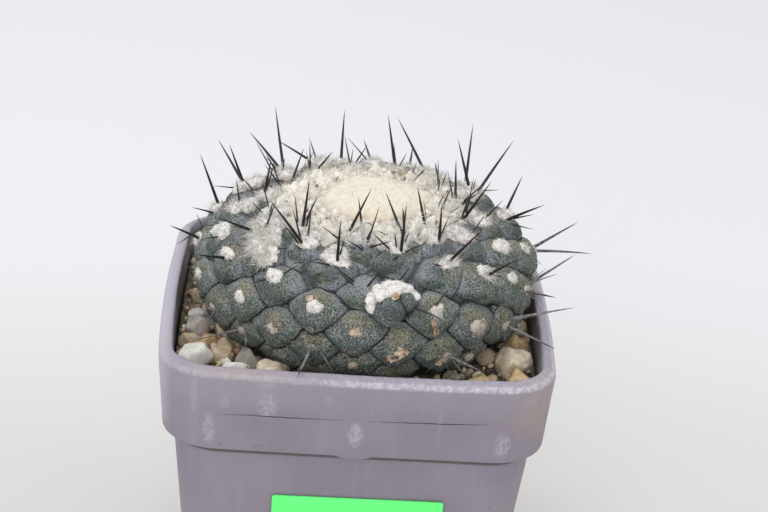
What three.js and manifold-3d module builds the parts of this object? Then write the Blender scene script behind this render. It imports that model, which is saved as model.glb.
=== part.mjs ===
// A low, round, woolly-crowned desert cactus in a square plastic pot, dressed with loose gravel.
// Millimetres, +Z up. The origin is the middle of the pot's flat underside, and -Y is the front.
//
// The cactus is one grown body. Its tubercles stand in a spiral lattice of 26 upright columns: each is
// a six-sided pad raised from the stem's profile by a formula, with a felted areole and its spines fused
// into it. The wool that hides the growing point is a body of its own, and so are gravel and soil.

import * as THREE from "three";
import { mergeVertices } from "three/addons/utils/BufferGeometryUtils.js";
import Module from "manifold-3d";

const wasm = await Module();
wasm.setup();

// Pot
const POT_HEIGHT = 55;
const RIM_HALF = 30; // half the outer width across the rim
const RIM_CORNER = 8.5;
const RIM_BOW = 0.6; // how far each long side of the rim bulges past its ends
const BAND_HEIGHT = 12.9; // the wide collar below the rim
const BAND_FOOT_HALF = 29.15;
const BODY_TOP_HALF = 27.4;
const BASE_HALF = 23.2;
const WALL = 1.3;
const LIP = 1.9; // the rim's thicker top edge
const FLOOR = 1.6;
const DRAIN_RADIUS = 2.5;
const DRAIN_REACH = 12; // each drain hole's distance from the middle, along X and Y
const TAB_HALF_WIDTH = 3.2; // the shallow moulded tab under the middle of each side of the collar
const TAB_DROP = 0.6;

// Label
const LABEL_WIDTH = 26;
const LABEL_HEIGHT = 16;
const LABEL_THICK = 0.3;
const LABEL_TOP = POT_HEIGHT - 21.3;
const LABEL_RIGHT = 1.1; // stuck on a little right of the middle and not quite level
const LABEL_TILT = 1.3;

// Soil and gravel
const SOIL_DEPTH = 7.6; // the soil's surface below the rim
const BED_DEPTH = 4.2; // the grit between the pebbles, below the rim
const BED_CORNER = 6;
const PEBBLES = 62;
const PEBBLE_SIZES = [1.5, 2.7]; // half their lengths
const PEBBLE_SPACING = 0.85; // the least distance between two, in sums of their half lengths
const BIG_STONE_TRIES = 500; // later tries are for smaller pebbles
const DRESSED_RADIUS = 22.5; // no pebble is laid nearer the stem's axis
const CORNER_STONES = [
  [-24.6, -18.2, 2.8],
  [-20.6, -16.4, 2],
  [-18.4, -21.8, 2],
  [-13.2, -22.6, 2],
  [-24.6, -8.4, 2.4],
  [-25.6, -12.6, 1.7],
  [23.6, -15.4, 3],
  [24.6, -20.6, 2.4],
  [18.8, -22.8, 2],
  [13.2, -24, 1.6],
]; // the larger stones in the front corners: X, Y and half their length

// Cactus
const STEM_X = 0.8;
const STEM_Y = 1.8;
const EQUATOR_Z = POT_HEIGHT + 5;
const STEM_RADIUS = 27; // half the stem's width over the tips of its tubercles
const CROWN_RISE = 12; // from the equator to the level of the tips at the growing point
const FOOT_DROP = 16; // from the equator to where the profile would close underground
const CROWN_POWER = 2.4;
const FOOT_POWER = 2.2;
const ROOT_TIP_Z = POT_HEIGHT - 29;

// Crown wool, as radius and height above the rim
const HEART_Z = EQUATOR_Z + CROWN_RISE - 3.4; // the sunken growing point below the wool
const CUSHION = [
  [3.4, 17.5],
  [6.6, 17.1],
  [8.6, 16.4],
]; // the smooth cream cushion in the middle
const WOOL_TUFTS = 26;
const TUFT_RADII = [10.8, 15.8];
const TUFT_SIZES = [1.5, 2.4];
const TUFT_HEIGHT = 17.2; // above the rim, for a tuft at the peak radius
const TUFT_PEAK_RADIUS = 12;
const TUFT_FALL = 0.16;
const CROWN_FELT = 2.4; // half the width of the felt of areoles in the crown's wool
const WOOL_RING = [
  [9.6, 16.5],
  [12.2, 17.7],
  [14.6, 17.3],
  [16.6, 15.6],
]; // the ragged white wool round it

// Tubercle lattice: a step right-down adds RISE_RIGHT to a tubercle's number, one left-down RISE_LEFT
const COLUMNS = 26;
const RISE_RIGHT = 11;
const RISE_LEFT = 15;
const FIRST_NUMBER = -64;
const LAST_NUMBER = 43;
const WOOLLY_RADIUS = 15.4; // tubercles whose tips are nearer the axis are buried in the crown's wool
const AREOLE_FLOOR = POT_HEIGHT + 1.6; // tubercles whose tips are lower have lost their felt
const FRONT_TURN = -3.5; // degrees: how far the column in front stands off the middle
const ZERO_ARC = 30.8; // the arc from the growing point down to tubercle 0
const ARC_STEP = 0.262; // the arc that each number adds
const LATTICE_TILT = 1.7; // how far the spiral rises towards +X, and falls towards -X
const TUBERCLE_HEIGHT = 2.9; // from the creases to the tips
const OFFSET_NUMBER = -15; // the tubercle that a small offset grows from
const OFFSET_RADIUS = 2.35;
const OFFSET_DROP = 3; // from the areole down to the offset's middle
const LONG_SPINE_RADIUS = 0.35;
const SHORT_SPINE_RADIUS = 0.26;

// Tips that stand aside of their place in the lattice: millimetres right and up
const NUDGED = new Map([
  [-41, [1.2, 0.8]],
  [-33, [-1, 0.6]],
  [-30, [2.6, 0.3]],
  [-22, [-1.6, 0]],
  [-15, [-0.8, 0.6]],
  [22, [1.5, -0.5]],
]);

// The long spines that show most: length, lean off the surface's normal and heading clockwise from
// uphill, in degrees
const LONG_SPINES = new Map([
  [-63, [[9.5, 25, 57]]],
  [-60, [[9, 22, -59]]],
  [-58, [[7.5, 49, -7]]],
  [-56, [[8, 43, -19]]],
  [-52, [[9.5, 9, -65]]],
  [-51, [[8, 31, 35]]],
  [-49, [[9, 15, -169]]],
  [-48, [[10.5, 22, -113]]],
  [-44, [[9, 39, 176]]],
  [-41, [[9.5, 6, -18]]],
  [-37, [[9, 10, 21]]],
  [-35, [[11, 40, 63]]],
  [-32, [[11, 9, -19], [9, 22, 135]]],
  [-31, [[9, 38, 25], [10.5, 10, -166]]],
  [-30, [[9, 14, 124]]],
  [-28, [[9.5, 14, -15]]],
  [-27, [[8, 32, -133]]],
  [-25, [[10, 26, 16]]],
  [-20, [[10.5, 24, 31]]],
  [-18, [[5.5, 24, 157]]],
  [-15, [[4.5, 55, 41], [8, 78, 120]]],
  [-14, [[6.5, 26, 64]]],
  [-8, [[7, 27, -15]]],
  [-4, [[5, 34, 14]]],
  [-1, [[8.5, 17, 13], [9.5, 14, -135]]],
  [3, [[9.5, 40, 41], [7, 29, -75]]],
  [15, [[8, 5, 87]]],
  [18, [[11, 42, 55], [8.5, 24, 118]]],
]);

const CLEARANCE = 0.3; // between pieces that touch
const SLIVER = 0.05; // how far a corner may move when slivers are taken out
const RESOLUTION = 600; // samples along the stem's profile

const degrees = THREE.MathUtils.degToRad;

function mapClamped(value, from, to, start, end) {
  const share = THREE.MathUtils.clamp((value - from) / (to - from), 0, 1);
  return THREE.MathUtils.lerp(start, end, share);
}

// A repeatable source of random numbers from 0 to 1
function seeded(seed) {
  let state = seed;
  return () => {
    state = (state + 0x6d2b79f5) | 0;
    let t = Math.imul(state ^ (state >>> 15), 1 | state);
    t = (t + Math.imul(t ^ (t >>> 7), 61 | t)) ^ t;
    return ((t ^ (t >>> 14)) >>> 0) / 4294967296;
  };
}

const between = (random, low, high) => low + (high - low) * random();

// Geometry in, solid out
function solidOf(geometry) {
  const bare = geometry.clone();
  bare.deleteAttribute("normal");
  bare.deleteAttribute("uv");
  const merged = mergeVertices(bare, 1e-4);
  return new wasm.Manifold(
    new wasm.Mesh({
      numProp: 3,
      vertProperties: merged.attributes.position.array,
      triVerts: new Uint32Array(merged.index.array),
    }),
  );
}

// Solid in, geometry out
function geometryOf(solid) {
  const mesh = solid.getMesh();
  const geometry = new THREE.BufferGeometry();
  geometry.setAttribute("position", new THREE.BufferAttribute(mesh.vertProperties, 3));
  geometry.setIndex(new THREE.BufferAttribute(mesh.triVerts, 1));
  return geometry;
}

// The solids as one, without its slivers or any scrap that lies loose
function joined(solids) {
  return largestBody(wasm.Manifold.union(solids));
}

function largestBody(solid) {
  const bodies = solid.simplify(SLIVER).decompose();
  return bodies.reduce((a, b) => (a.volume() > b.volume() ? a : b));
}

function fromPoints(points, triangles) {
  const geometry = new THREE.BufferGeometry().setFromPoints(points);
  geometry.setIndex(triangles);
  return geometry;
}

// One level of a square section with round corners and sides that bow outwards, anticlockwise from above
function squareRing(half, corner, bow, z) {
  const cornerSteps = 5;
  const sideSteps = 4;
  const ring = [];
  for (let side = 0; side < 4; side++) {
    const turn = (side * Math.PI) / 2;
    const level = [];
    for (let k = 1; k < sideSteps; k++) {
      const across = ((2 * k) / sideSteps - 1) * (half - corner);
      const share = across / (half - corner);
      level.push([across, -half - bow * (1 - share * share)]);
    }
    for (let k = 0; k <= cornerSteps; k++) {
      const a = (k / cornerSteps - 1) * (Math.PI / 2);
      level.push([half - corner + corner * Math.cos(a), -half + corner + corner * Math.sin(a)]);
    }
    for (const [x, y] of level) {
      const point = new THREE.Vector3(x, y, z);
      ring.push(point.applyAxisAngle(new THREE.Vector3(0, 0, 1), turn));
    }
  }
  return ring;
}

// A closed solid through a stack of rings with equal counts, each end closed by a fan
function loft(rings) {
  const count = rings[0].length;
  const points = rings.flat();
  const triangles = [];
  for (let r = 0; r + 1 < rings.length; r++) {
    for (let k = 0; k < count; k++) {
      const a = r * count + k;
      const b = r * count + ((k + 1) % count);
      triangles.push(a, b, b + count, a, b + count, a + count);
    }
  }
  const ends = [
    [rings[0], 0, true],
    [rings.at(-1), (rings.length - 1) * count, false],
  ];
  for (const [ring, start, flipped] of ends) {
    const middle = new THREE.Vector3();
    ring.forEach((p) => middle.addScaledVector(p, 1 / count));
    const hub = points.push(middle) - 1;
    for (let k = 0; k < count; k++) {
      const a = start + k;
      const b = start + ((k + 1) % count);
      triangles.push(...(flipped ? [hub, b, a] : [hub, a, b]));
    }
  }
  return solidOf(fromPoints(points, triangles));
}

// Half the width of the pot's body at a height, below the collar
function bodyHalf(z) {
  const bandFoot = POT_HEIGHT - BAND_HEIGHT;
  return THREE.MathUtils.mapLinear(z, 0, bandFoot, BASE_HALF, BODY_TOP_HALF);
}

// Half the width of the pot's inside at a height
function insideHalf(z) {
  const bandFoot = POT_HEIGHT - BAND_HEIGHT;
  if (z < bandFoot + 0.4) return bodyHalf(Math.min(z, bandFoot)) - WALL;
  return THREE.MathUtils.mapLinear(z, bandFoot, POT_HEIGHT, BAND_FOOT_HALF - WALL, RIM_HALF - LIP);
}

function makePot() {
  const bandFoot = POT_HEIGHT - BAND_HEIGHT;
  const inner = RIM_CORNER - LIP;
  const outside = [
    squareRing(BASE_HALF - 0.8, 6.2, 0, 0),
    squareRing(BASE_HALF, 6.8, 0, 0.9),
    squareRing(BODY_TOP_HALF, 7.4, 0.1, bandFoot),
    squareRing(BAND_FOOT_HALF - 0.35, 8.2, 0.2, bandFoot),
    squareRing(BAND_FOOT_HALF, 8.4, 0.2, bandFoot + 0.4),
    squareRing(RIM_HALF, RIM_CORNER, RIM_BOW, POT_HEIGHT - 1.0),
    squareRing(RIM_HALF - 0.3, RIM_CORNER - 0.3, RIM_BOW, POT_HEIGHT - 0.3),
    squareRing(RIM_HALF - 0.8, RIM_CORNER - 0.8, RIM_BOW, POT_HEIGHT),
  ];
  const inside = [
    squareRing(RIM_HALF - LIP + 0.4, inner + 0.4, RIM_BOW, POT_HEIGHT),
    squareRing(RIM_HALF - LIP, inner, RIM_BOW, POT_HEIGHT - 0.5),
    squareRing(BAND_FOOT_HALF - WALL, 6.9, 0.2, bandFoot + 1.6),
    squareRing(bodyHalf(bandFoot) - WALL, 6.1, 0.1, bandFoot + 0.4),
    squareRing(bodyHalf(FLOOR + 0.9) - WALL, 5.5, 0, FLOOR + 0.9),
    squareRing(bodyHalf(FLOOR) - WALL - 0.8, 5, 0, FLOOR),
  ];
  let pot = loft([...outside, ...inside]);

  const tabDepth = BAND_FOOT_HALF - BODY_TOP_HALF + 0.5;
  const tab = new THREE.CylinderGeometry(1, 1, tabDepth, 20);
  tab.scale(TAB_HALF_WIDTH, 1, TAB_DROP);
  tab.translate(0, -BAND_FOOT_HALF + tabDepth / 2, bandFoot + 0.05);
  for (let side = 0; side < 4; side++) {
    pot = pot.add(solidOf(tab.clone().rotateZ((side * Math.PI) / 2)));
  }
  for (const x of [-DRAIN_REACH, DRAIN_REACH]) {
    for (const y of [-DRAIN_REACH, DRAIN_REACH]) {
      const hole = new THREE.CylinderGeometry(DRAIN_RADIUS, DRAIN_RADIUS, 3 * FLOOR, 16);
      hole.rotateX(Math.PI / 2).translate(x, y, FLOOR / 2);
      pot = pot.subtract(solidOf(hole));
    }
  }
  return pot;
}

// The blank paper label, face to face with the front wall that it leans along
function makeLabel() {
  const lean = Math.atan2(BODY_TOP_HALF - BASE_HALF, POT_HEIGHT - BAND_HEIGHT);
  const middle = LABEL_TOP - (LABEL_HEIGHT / 2) * Math.cos(lean);
  const label = new THREE.BoxGeometry(LABEL_WIDTH, LABEL_THICK, LABEL_HEIGHT);
  label.rotateY(-degrees(LABEL_TILT)).rotateX(lean);
  label.translate(LABEL_RIGHT, -bodyHalf(middle) - CLEARANCE - LABEL_THICK, middle);
  return solidOf(label);
}

// The profile over the tubercles' tips, sampled by arc length from the growing point
const profile = (() => {
  const samples = [];
  let arc = 0;
  for (let k = 0; k <= RESOLUTION; k++) {
    const t = (k / RESOLUTION) * Math.PI;
    const upper = t <= Math.PI / 2;
    const power = upper ? CROWN_POWER : FOOT_POWER;
    const r = STEM_RADIUS * Math.abs(Math.sin(t)) ** (2 / power);
    const reach = Math.abs(Math.cos(t)) ** (2 / power);
    const z = EQUATOR_Z + (upper ? CROWN_RISE : -FOOT_DROP) * reach;
    if (k) arc += Math.hypot(r - samples[k - 1].r, z - samples[k - 1].z);
    samples.push({ arc, r, z });
  }
  return samples;
})();

// Radius, height and outward normal of the profile at an arc length
function profileAt(arc) {
  const next = Math.max(1, profile.findIndex((p) => p.arc >= arc));
  const [a, b] = [profile[next - 1], profile[next]];
  const share = (arc - a.arc) / (b.arc - a.arc);
  const [dr, dz] = [b.r - a.r, b.z - a.z];
  const length = Math.hypot(dr, dz);
  return {
    r: a.r + dr * share,
    z: a.z + dz * share,
    normal: [-dz / length, dr / length],
  };
}

// A point at a turn round the stem and an arc length, sunk below the profile
function stemPoint(turn, arc, sunk) {
  const at = profileAt(arc);
  const r = at.r - at.normal[0] * sunk;
  const z = at.z - at.normal[1] * sunk;
  return new THREE.Vector3(STEM_X + r * Math.sin(turn), STEM_Y - r * Math.cos(turn), z);
}

const latticeTurn = (right, left) => degrees(FRONT_TURN + ((right - left) * 360) / COLUMNS);
const latticeNumber = (right, left) => RISE_RIGHT * right + RISE_LEFT * left;
const latticeArc = (number, turn) => ZERO_ARC + ARC_STEP * number - LATTICE_TILT * Math.sin(turn);

// Every tubercle's place in the lattice, one for each number
const tubercles = [];
for (let number = FIRST_NUMBER; number <= LAST_NUMBER; number++) {
  const right = (((RISE_RIGHT * number) % RISE_LEFT) + RISE_LEFT) % RISE_LEFT;
  const left = (number - RISE_RIGHT * right) / RISE_LEFT;
  const rise = number < 25 ? between(seeded(1000 + number), -0.35, 0.3) : 0;
  tubercles.push({ number, right, left, rise });
}

// How far a tubercle's tip stands right and uphill of its middle: the young ones point up, and the old
// ones hang a little
function tipShift(number) {
  const [right, up] = NUDGED.get(number) ?? [0, 0];
  const lean = number < 8 ? mapClamped(number, -50, 0, 1.3, -0.9) : mapClamped(number, 8, 18, -0.9, 0);
  return [right, up + lean];
}

// How deep the creases are: the oldest tubercles, low down, are worn and pressed flat
function creaseDepth(number) {
  return mapClamped(number, 16, 46, TUBERCLE_HEIGHT, 0.9);
}

// How far the youngest tubercles sink in round the growing point
function crownSettle(number) {
  return mapClamped(number, -42, -64, 0, 1.6);
}

// A tubercle's rise at a share of the way from its middle (0) to its crease (1)
const padRise = (share) => (1 - share ** 2.4) ** 0.6;

const HEX_CORNERS = [
  [2, 1],
  [1, 2],
  [-1, 1],
  [-2, -1],
  [-1, -2],
  [1, -1],
]; // in thirds of a lattice step, from the tubercle's middle

// A point on a tubercle, towards one corner of its outline by a share of the way
function padPoint({ number, right, left, rise }, cornerRight, cornerLeft, share) {
  const u = right + (cornerRight / 3) * share;
  const v = left + (cornerLeft / 3) * share;
  const risen = padRise(share);
  const level = latticeNumber(u, v);
  const depth = creaseDepth(level);
  const sunk = depth - (depth + rise - crownSettle(number)) * risen;
  const turn = latticeTurn(u, v);
  const arc = latticeArc(level, turn);
  const [aside, uphill] = tipShift(number).map((shift) => shift * risen);
  return stemPoint(turn + aside / profileAt(arc).r, arc - uphill, sunk);
}

// The stem with its tubercles, closed at the growing point and by a tapered root
function makeStemBody() {
  const points = [];
  const triangles = [];
  const corners = new Map();
  const cornerAt = (thirdsRight, thirdsLeft) => {
    const around = 3 * COLUMNS;
    const column = (((thirdsRight - thirdsLeft) % around) + around) % around;
    const level = latticeNumber(thirdsRight, thirdsLeft);
    const key = column + ":" + level;
    if (!corners.has(key)) {
      const turn = latticeTurn(column / 3, 0);
      const point = stemPoint(turn, latticeArc(level / 3, turn), creaseDepth(level / 3));
      corners.set(key, points.push(point) - 1);
    }
    return corners.get(key);
  };
  for (const tubercle of tubercles) {
    const { right, left } = tubercle;
    const ringAt = (share) =>
      HEX_CORNERS.map(([du, dv]) => points.push(padPoint(tubercle, du, dv, share)) - 1);
    const border = HEX_CORNERS.map(([du, dv]) => cornerAt(3 * right + du, 3 * left + dv));
    const rings = [border, ringAt(0.86), ringAt(0.5)];
    const hub = points.push(padPoint(tubercle, 0, 0, 0)) - 1;
    for (let k = 0; k < 6; k++) {
      const n = (k + 1) % 6;
      for (const [outer, inner] of [
        [rings[0], rings[1]],
        [rings[1], rings[2]],
      ]) {
        triangles.push(outer[n], outer[k], inner[k], outer[n], inner[k], inner[n]);
      }
      triangles.push(rings[2][n], rings[2][k], hub);
    }
  }
  closeLoops(points, triangles);
  return solidOf(fromPoints(points, triangles));
}

// Closes the two open edges of the tubercle lattice, the upper one to the growing point and the lower one
// to the root's tip
function closeLoops(points, triangles) {
  const open = new Map();
  for (let t = 0; t < triangles.length; t += 3) {
    for (let e = 0; e < 3; e++) {
      const [a, b] = [triangles[t + e], triangles[t + ((e + 1) % 3)]];
      if (!open.delete(b + ">" + a)) open.set(a + ">" + b, [a, b]);
    }
  }
  const growingPoint = new THREE.Vector3(STEM_X, STEM_Y, HEART_Z);
  const rootTip = new THREE.Vector3(STEM_X, STEM_Y, ROOT_TIP_Z);
  const hubs = [points.push(growingPoint) - 1, points.push(rootTip) - 1];
  for (const [a, b] of open.values()) {
    triangles.push(b, a, points[a].z > EQUATOR_Z ? hubs[0] : hubs[1]);
  }
}

// Where a tubercle's areole sits, with the directions out of it, up the stem and sideways
function areoleFrame(tubercle) {
  const middle = latticeTurn(tubercle.right, tubercle.left);
  const [aside, uphill] = tipShift(tubercle.number);
  const arc = latticeArc(tubercle.number, middle);
  const turn = middle + aside / profileAt(arc).r;
  const [level, rise] = profileAt(arc - uphill).normal;
  const out = new THREE.Vector3(level * Math.sin(turn), -level * Math.cos(turn), rise);
  const side = new THREE.Vector3(Math.cos(turn), Math.sin(turn), 0);
  const up = new THREE.Vector3().crossVectors(out, side);
  return { tip: padPoint(tubercle, 0, 0, 0), out, up, side };
}

// A rough lump of wool or a pebble: an icosahedron pushed in and out at its corners
function lump(random, size, detail, roughness) {
  const ball = new THREE.IcosahedronGeometry(1, detail);
  const geometry = mergeVertices(ball.deleteAttribute("normal").deleteAttribute("uv"), 1e-4);
  const { position } = geometry.attributes;
  const corner = new THREE.Vector3();
  for (let k = 0; k < position.count; k++) {
    const reach = between(random, 1 - roughness, 1 + roughness);
    position.setXYZ(k, ...corner.fromBufferAttribute(position, k).multiplyScalar(reach));
  }
  return geometry.scale(...size);
}

function placed(geometry, out, at) {
  const turn = new THREE.Quaternion().setFromUnitVectors(new THREE.Vector3(0, 0, 1), out);
  return solidOf(geometry.applyQuaternion(turn).translate(...at));
}

// A three-sided spine, a little bowed, thickest at its foot
function spine(foot, direction, length, radius, bow) {
  const aside = Math.abs(direction.z) < 0.9 ? new THREE.Vector3(0, 0, 1) : new THREE.Vector3(1, 0, 0);
  const across = aside.cross(direction).normalize();
  const second = new THREE.Vector3().crossVectors(direction, across).normalize();
  const points = [];
  const middle = foot.clone().addScaledVector(direction, length / 2).addScaledVector(bow, length);
  for (const [centre, r] of [
    [foot, radius],
    [middle, radius * 0.75],
  ]) {
    for (let k = 0; k < 3; k++) {
      const a = (k * 2 * Math.PI) / 3;
      const point = centre.clone().addScaledVector(across, r * Math.cos(a));
      points.push(point.addScaledVector(second, r * Math.sin(a)));
    }
  }
  points.push(foot.clone().addScaledVector(direction, length));
  const triangles = [0, 2, 1];
  for (let k = 0; k < 3; k++) {
    const n = (k + 1) % 3;
    triangles.push(k, n, 3 + n, k, 3 + n, 3 + k, 3 + k, 3 + n, 6);
  }
  return solidOf(fromPoints(points, triangles));
}

// Whether a spine would run into the pot's rim rather than over it
function meetsRim(foot, direction, length) {
  const straight = RIM_HALF - RIM_CORNER;
  for (let along = 0; along < length + 1; along += 0.5) {
    const { x, y, z } = foot.clone().addScaledVector(direction, along);
    const aside = Math.hypot(Math.max(0, Math.abs(x) - straight), Math.max(0, Math.abs(y) - straight));
    if (straight + aside > RIM_HALF - LIP - 0.8 && z < POT_HEIGHT + 0.8) return true;
  }
  return false;
}

// The spines of one areole, as foot, direction, length and foot radius
function spinesOf(tubercle) {
  const { number } = tubercle;
  const random = seeded(5000 + 7 * number);
  const { tip, out, up, side } = areoleFrame(tubercle);
  const list = [];
  const add = (length, lean, heading, radius) => {
    const direction = out.clone().multiplyScalar(Math.cos(degrees(lean)));
    direction.addScaledVector(up, Math.sin(degrees(lean)) * Math.cos(degrees(heading)));
    direction.addScaledVector(side, Math.sin(degrees(lean)) * Math.sin(degrees(heading)));
    const foot = tip.clone().addScaledVector(out, -0.9);
    foot.addScaledVector(side, between(random, -0.4, 0.4)).addScaledVector(up, between(random, -0.4, 0.4));
    while (meetsRim(foot, direction, length)) direction.setZ(direction.z + 0.05).normalize();
    list.push({ foot, direction, length: length + 0.9, radius });
  };
  const young = number < -12;
  const long = LONG_SPINES.get(number) ?? [];
  long.forEach((values) => add(...values, LONG_SPINE_RADIUS));
  if (!long.length && (young || random() < 0.3)) {
    add(between(random, 7, 10), between(random, 5, 35), between(random, -70, 70), LONG_SPINE_RADIUS);
  }
  if (young && random() < 0.6) {
    const heading = (random() < 0.5 ? -1 : 1) * between(random, 60, 150);
    add(between(random, 3.5, 6), between(random, 45, 70), heading, SHORT_SPINE_RADIUS);
  }
  return list;
}

// Felt pads and spines of the tubercles whose numbers pass the test
function areolesOf(chosen, swell, feltSize) {
  const solids = [];
  for (const tubercle of tubercles.filter(chosen)) {
    const random = seeded(9000 + tubercle.number);
    const { tip, out } = areoleFrame(tubercle);
    const wide = feltSize(tubercle.number) * between(random, 0.85, 1.15) + swell;
    solids.push(placed(lump(random, [wide, wide, wide * 0.62], 0, 0.12), out, tip));
    for (const s of spinesOf(tubercle)) {
      const bow = new THREE.Vector3(0, 0, -0.02);
      solids.push(spine(s.foot, s.direction, s.length + swell, s.radius + swell, bow));
    }
  }
  return solids;
}

function feltWidth(number) {
  return THREE.MathUtils.clamp(THREE.MathUtils.mapLinear(number, -40, 10, 2.1, 1.1), 1.1, 2.1);
}

// The small round offset that breaks out under one areole at the front
function makeOffset() {
  const parent = tubercles.find((t) => t.number === OFFSET_NUMBER);
  const { tip, out, up } = areoleFrame(parent);
  const ball = new THREE.IcosahedronGeometry(OFFSET_RADIUS, 1);
  return placed(ball, out, tip.addScaledVector(up, -OFFSET_DROP));
}

function isBuried(tubercle) {
  const tip = padPoint(tubercle, 0, 0, 0);
  return Math.hypot(tip.x - STEM_X, tip.y - STEM_Y) < WOOLLY_RADIUS;
}

const hasOwnFelt = (tubercle) => !isBuried(tubercle) && padPoint(tubercle, 0, 0, 0).z > AREOLE_FLOOR;

// The whole grown plant below its crown wool
function makeCactus() {
  return joined([makeStemBody(), makeOffset(), ...areolesOf(hasOwnFelt, 0, feltWidth)]);
}

// A solid of revolution about the stem's axis, from an outline of radius and height that runs upwards
function turned(outline, slices) {
  const rings = outline.map(([r, z]) => {
    const ring = [];
    for (let k = 0; k < slices; k++) {
      const a = (k / slices) * 2 * Math.PI;
      ring.push(new THREE.Vector3(STEM_X + r * Math.cos(a), STEM_Y + r * Math.sin(a), z));
    }
    return ring;
  });
  return loft(rings);
}

// The smooth hollow that the stem and its root keep free in the pieces round them
function makeHollow() {
  const outline = [[CLEARANCE + 1, ROOT_TIP_Z - 3]];
  for (let k = 0; k <= 14; k++) {
    const arc = THREE.MathUtils.lerp(latticeArc(LAST_NUMBER + 10, 0), 9, k / 14);
    const at = profileAt(arc);
    const settled = crownSettle((arc + 1.8 + LATTICE_TILT - ZERO_ARC) / ARC_STEP);
    const margin = CLEARANCE + 0.36 - settled; // the tallest tubercles stand 0.3 above the profile
    outline.push([at.r + at.normal[0] * margin, at.z + at.normal[1] * margin]);
  }
  outline.push([7.2, HEART_Z + 0.6]);
  return turned(outline, 48);
}

// The cushion of wool over the growing point, with the woolly young areoles round it and their spines
function makeCrownWool() {
  const above = [...CUSHION, ...WOOL_RING].map(([r, depth]) => [r, POT_HEIGHT + depth]);
  const pad = turned([[WOOL_RING.at(-1)[0], HEART_Z - 1], ...above.reverse()], 32);
  const random = seeded(31);
  const tufts = [];
  for (let k = 0; k < WOOL_TUFTS; k++) {
    const turn = ((k + between(random, -0.3, 0.3)) * 2 * Math.PI) / WOOL_TUFTS;
    const r = between(random, ...TUFT_RADII);
    const size = between(random, ...TUFT_SIZES);
    const tuft = lump(random, [size, size, size * 0.7], 0, 0.2);
    const height = TUFT_HEIGHT - TUFT_FALL * (r - TUFT_PEAK_RADIUS) ** 2;
    tuft.translate(STEM_X + r * Math.sin(turn), STEM_Y - r * Math.cos(turn), POT_HEIGHT + height);
    tufts.push(solidOf(tuft));
  }
  return joined([pad, ...tufts, ...areolesOf(isBuried, 0, () => CROWN_FELT)]);
}

// The grit between the pebbles, and the pebbles half sunk in it
function makeGravel() {
  const low = POT_HEIGHT - SOIL_DEPTH + CLEARANCE;
  const high = POT_HEIGHT - BED_DEPTH;
  const bed = loft([
    squareRing(insideHalf(low) - CLEARANCE, 6, 0.1, low),
    squareRing(insideHalf(high) - CLEARANCE, 6, 0.3, high),
  ]);
  const random = seeded(77);
  const laid = [];
  const pebbles = [];
  const limit = insideHalf(high) - CLEARANCE - 0.1;
  for (let tries = 0; tries < 6000 && laid.length < PEBBLES; tries++) {
    const drawn = between(random, ...PEBBLE_SIZES) * (tries < BIG_STONE_TRIES ? 1 : 0.8);
    const spread = limit - drawn;
    const [x, y, size] = CORNER_STONES[tries] ?? [
      between(random, -spread, spread),
      between(random, -spread, spread),
      drawn,
    ];
    const square = limit - BED_CORNER;
    const corner = Math.hypot(Math.max(0, Math.abs(x) - square), Math.max(0, Math.abs(y) - square));
    const underStem = Math.hypot(x - STEM_X, y - STEM_Y) < DRESSED_RADIUS + size / 2;
    const inTheWay = (p) => Math.hypot(x - p.x, y - p.y) < PEBBLE_SPACING * (size + p.size);
    const drawnAtRandom = tries >= CORNER_STONES.length;
    if (drawnAtRandom && (underStem || corner + size > BED_CORNER || laid.some(inTheWay))) continue;
    laid.push({ x, y, size });
    const detail = size > 2.7 ? 1 : 0;
    const sizes = [size, size * between(random, 0.75, 1), size * between(random, 0.75, 1)];
    const stone = lump(random, sizes, detail, 0.1);
    stone.rotateZ(between(random, 0, Math.PI));
    stone.translate(x, y, high + size * 0.25);
    pebbles.push(solidOf(stone));
  }
  return joined([bed, ...pebbles]);
}

// Potting mix from the pot's floor to just under the gravel
function makeSoil() {
  const low = FLOOR + CLEARANCE;
  const shelf = POT_HEIGHT - BAND_HEIGHT;
  const high = POT_HEIGHT - SOIL_DEPTH;
  return loft([
    squareRing(insideHalf(FLOOR) - 1.3, 5, 0, low),
    squareRing(insideHalf(FLOOR + 1.2) - CLEARANCE, 5.5, 0, low + 1.2),
    squareRing(insideHalf(shelf) - CLEARANCE - 0.05, 6.1, 0.1, shelf + 0.2),
    squareRing(insideHalf(shelf) - CLEARANCE, 6.1, 0.1, high),
  ]);
}

function meshOf(name, solid, color, roughness) {
  const material = new THREE.MeshStandardMaterial({ color, roughness, metalness: 0 });
  const mesh = new THREE.Mesh(geometryOf(solid), material);
  mesh.name = name;
  return mesh;
}

const pot = makePot();
const cactus = makeCactus();
const hollow = makeHollow();
const spinesRoom = wasm.Manifold.union(areolesOf(hasOwnFelt, CLEARANCE, feltWidth));
const crownWool = largestBody(makeCrownWool().subtract(hollow).subtract(spinesRoom));
const gravel = largestBody(makeGravel().subtract(hollow));
const soil = largestBody(makeSoil().subtract(hollow));

const plant = new THREE.Group();
plant.add(
  meshOf("pot", pot, 0x8f8794, 0.55),
  meshOf("label", makeLabel(), 0x6af082, 0.6),
  meshOf("soil", soil, 0x3a2a22, 1),
  meshOf("gravel", gravel, 0xa89a80, 0.85),
  meshOf("cactus", cactus, 0x5d6a5c, 0.75),
  meshOf("crown_wool", crownWool, 0xf0e6cf, 1),
);

export default plant;
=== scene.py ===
"""A woolly-crowned desert cactus in a square nursery pot: the looks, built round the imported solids.

Each sub-assembly is a class that keeps its sizes and makes its own pieces. Shapes are worked out in
millimetres, with z up from the pot's underside and the front towards -Y, and come to metres at delivery.
"""

import logging
from bisect import bisect_left
from collections.abc import Callable, Iterable, Sequence
from dataclasses import dataclass, field
from enum import Enum
from functools import reduce
from math import atan2, copysign, cos, exp, hypot, pi, radians, sin, sqrt
from typing import TypeVar

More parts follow.
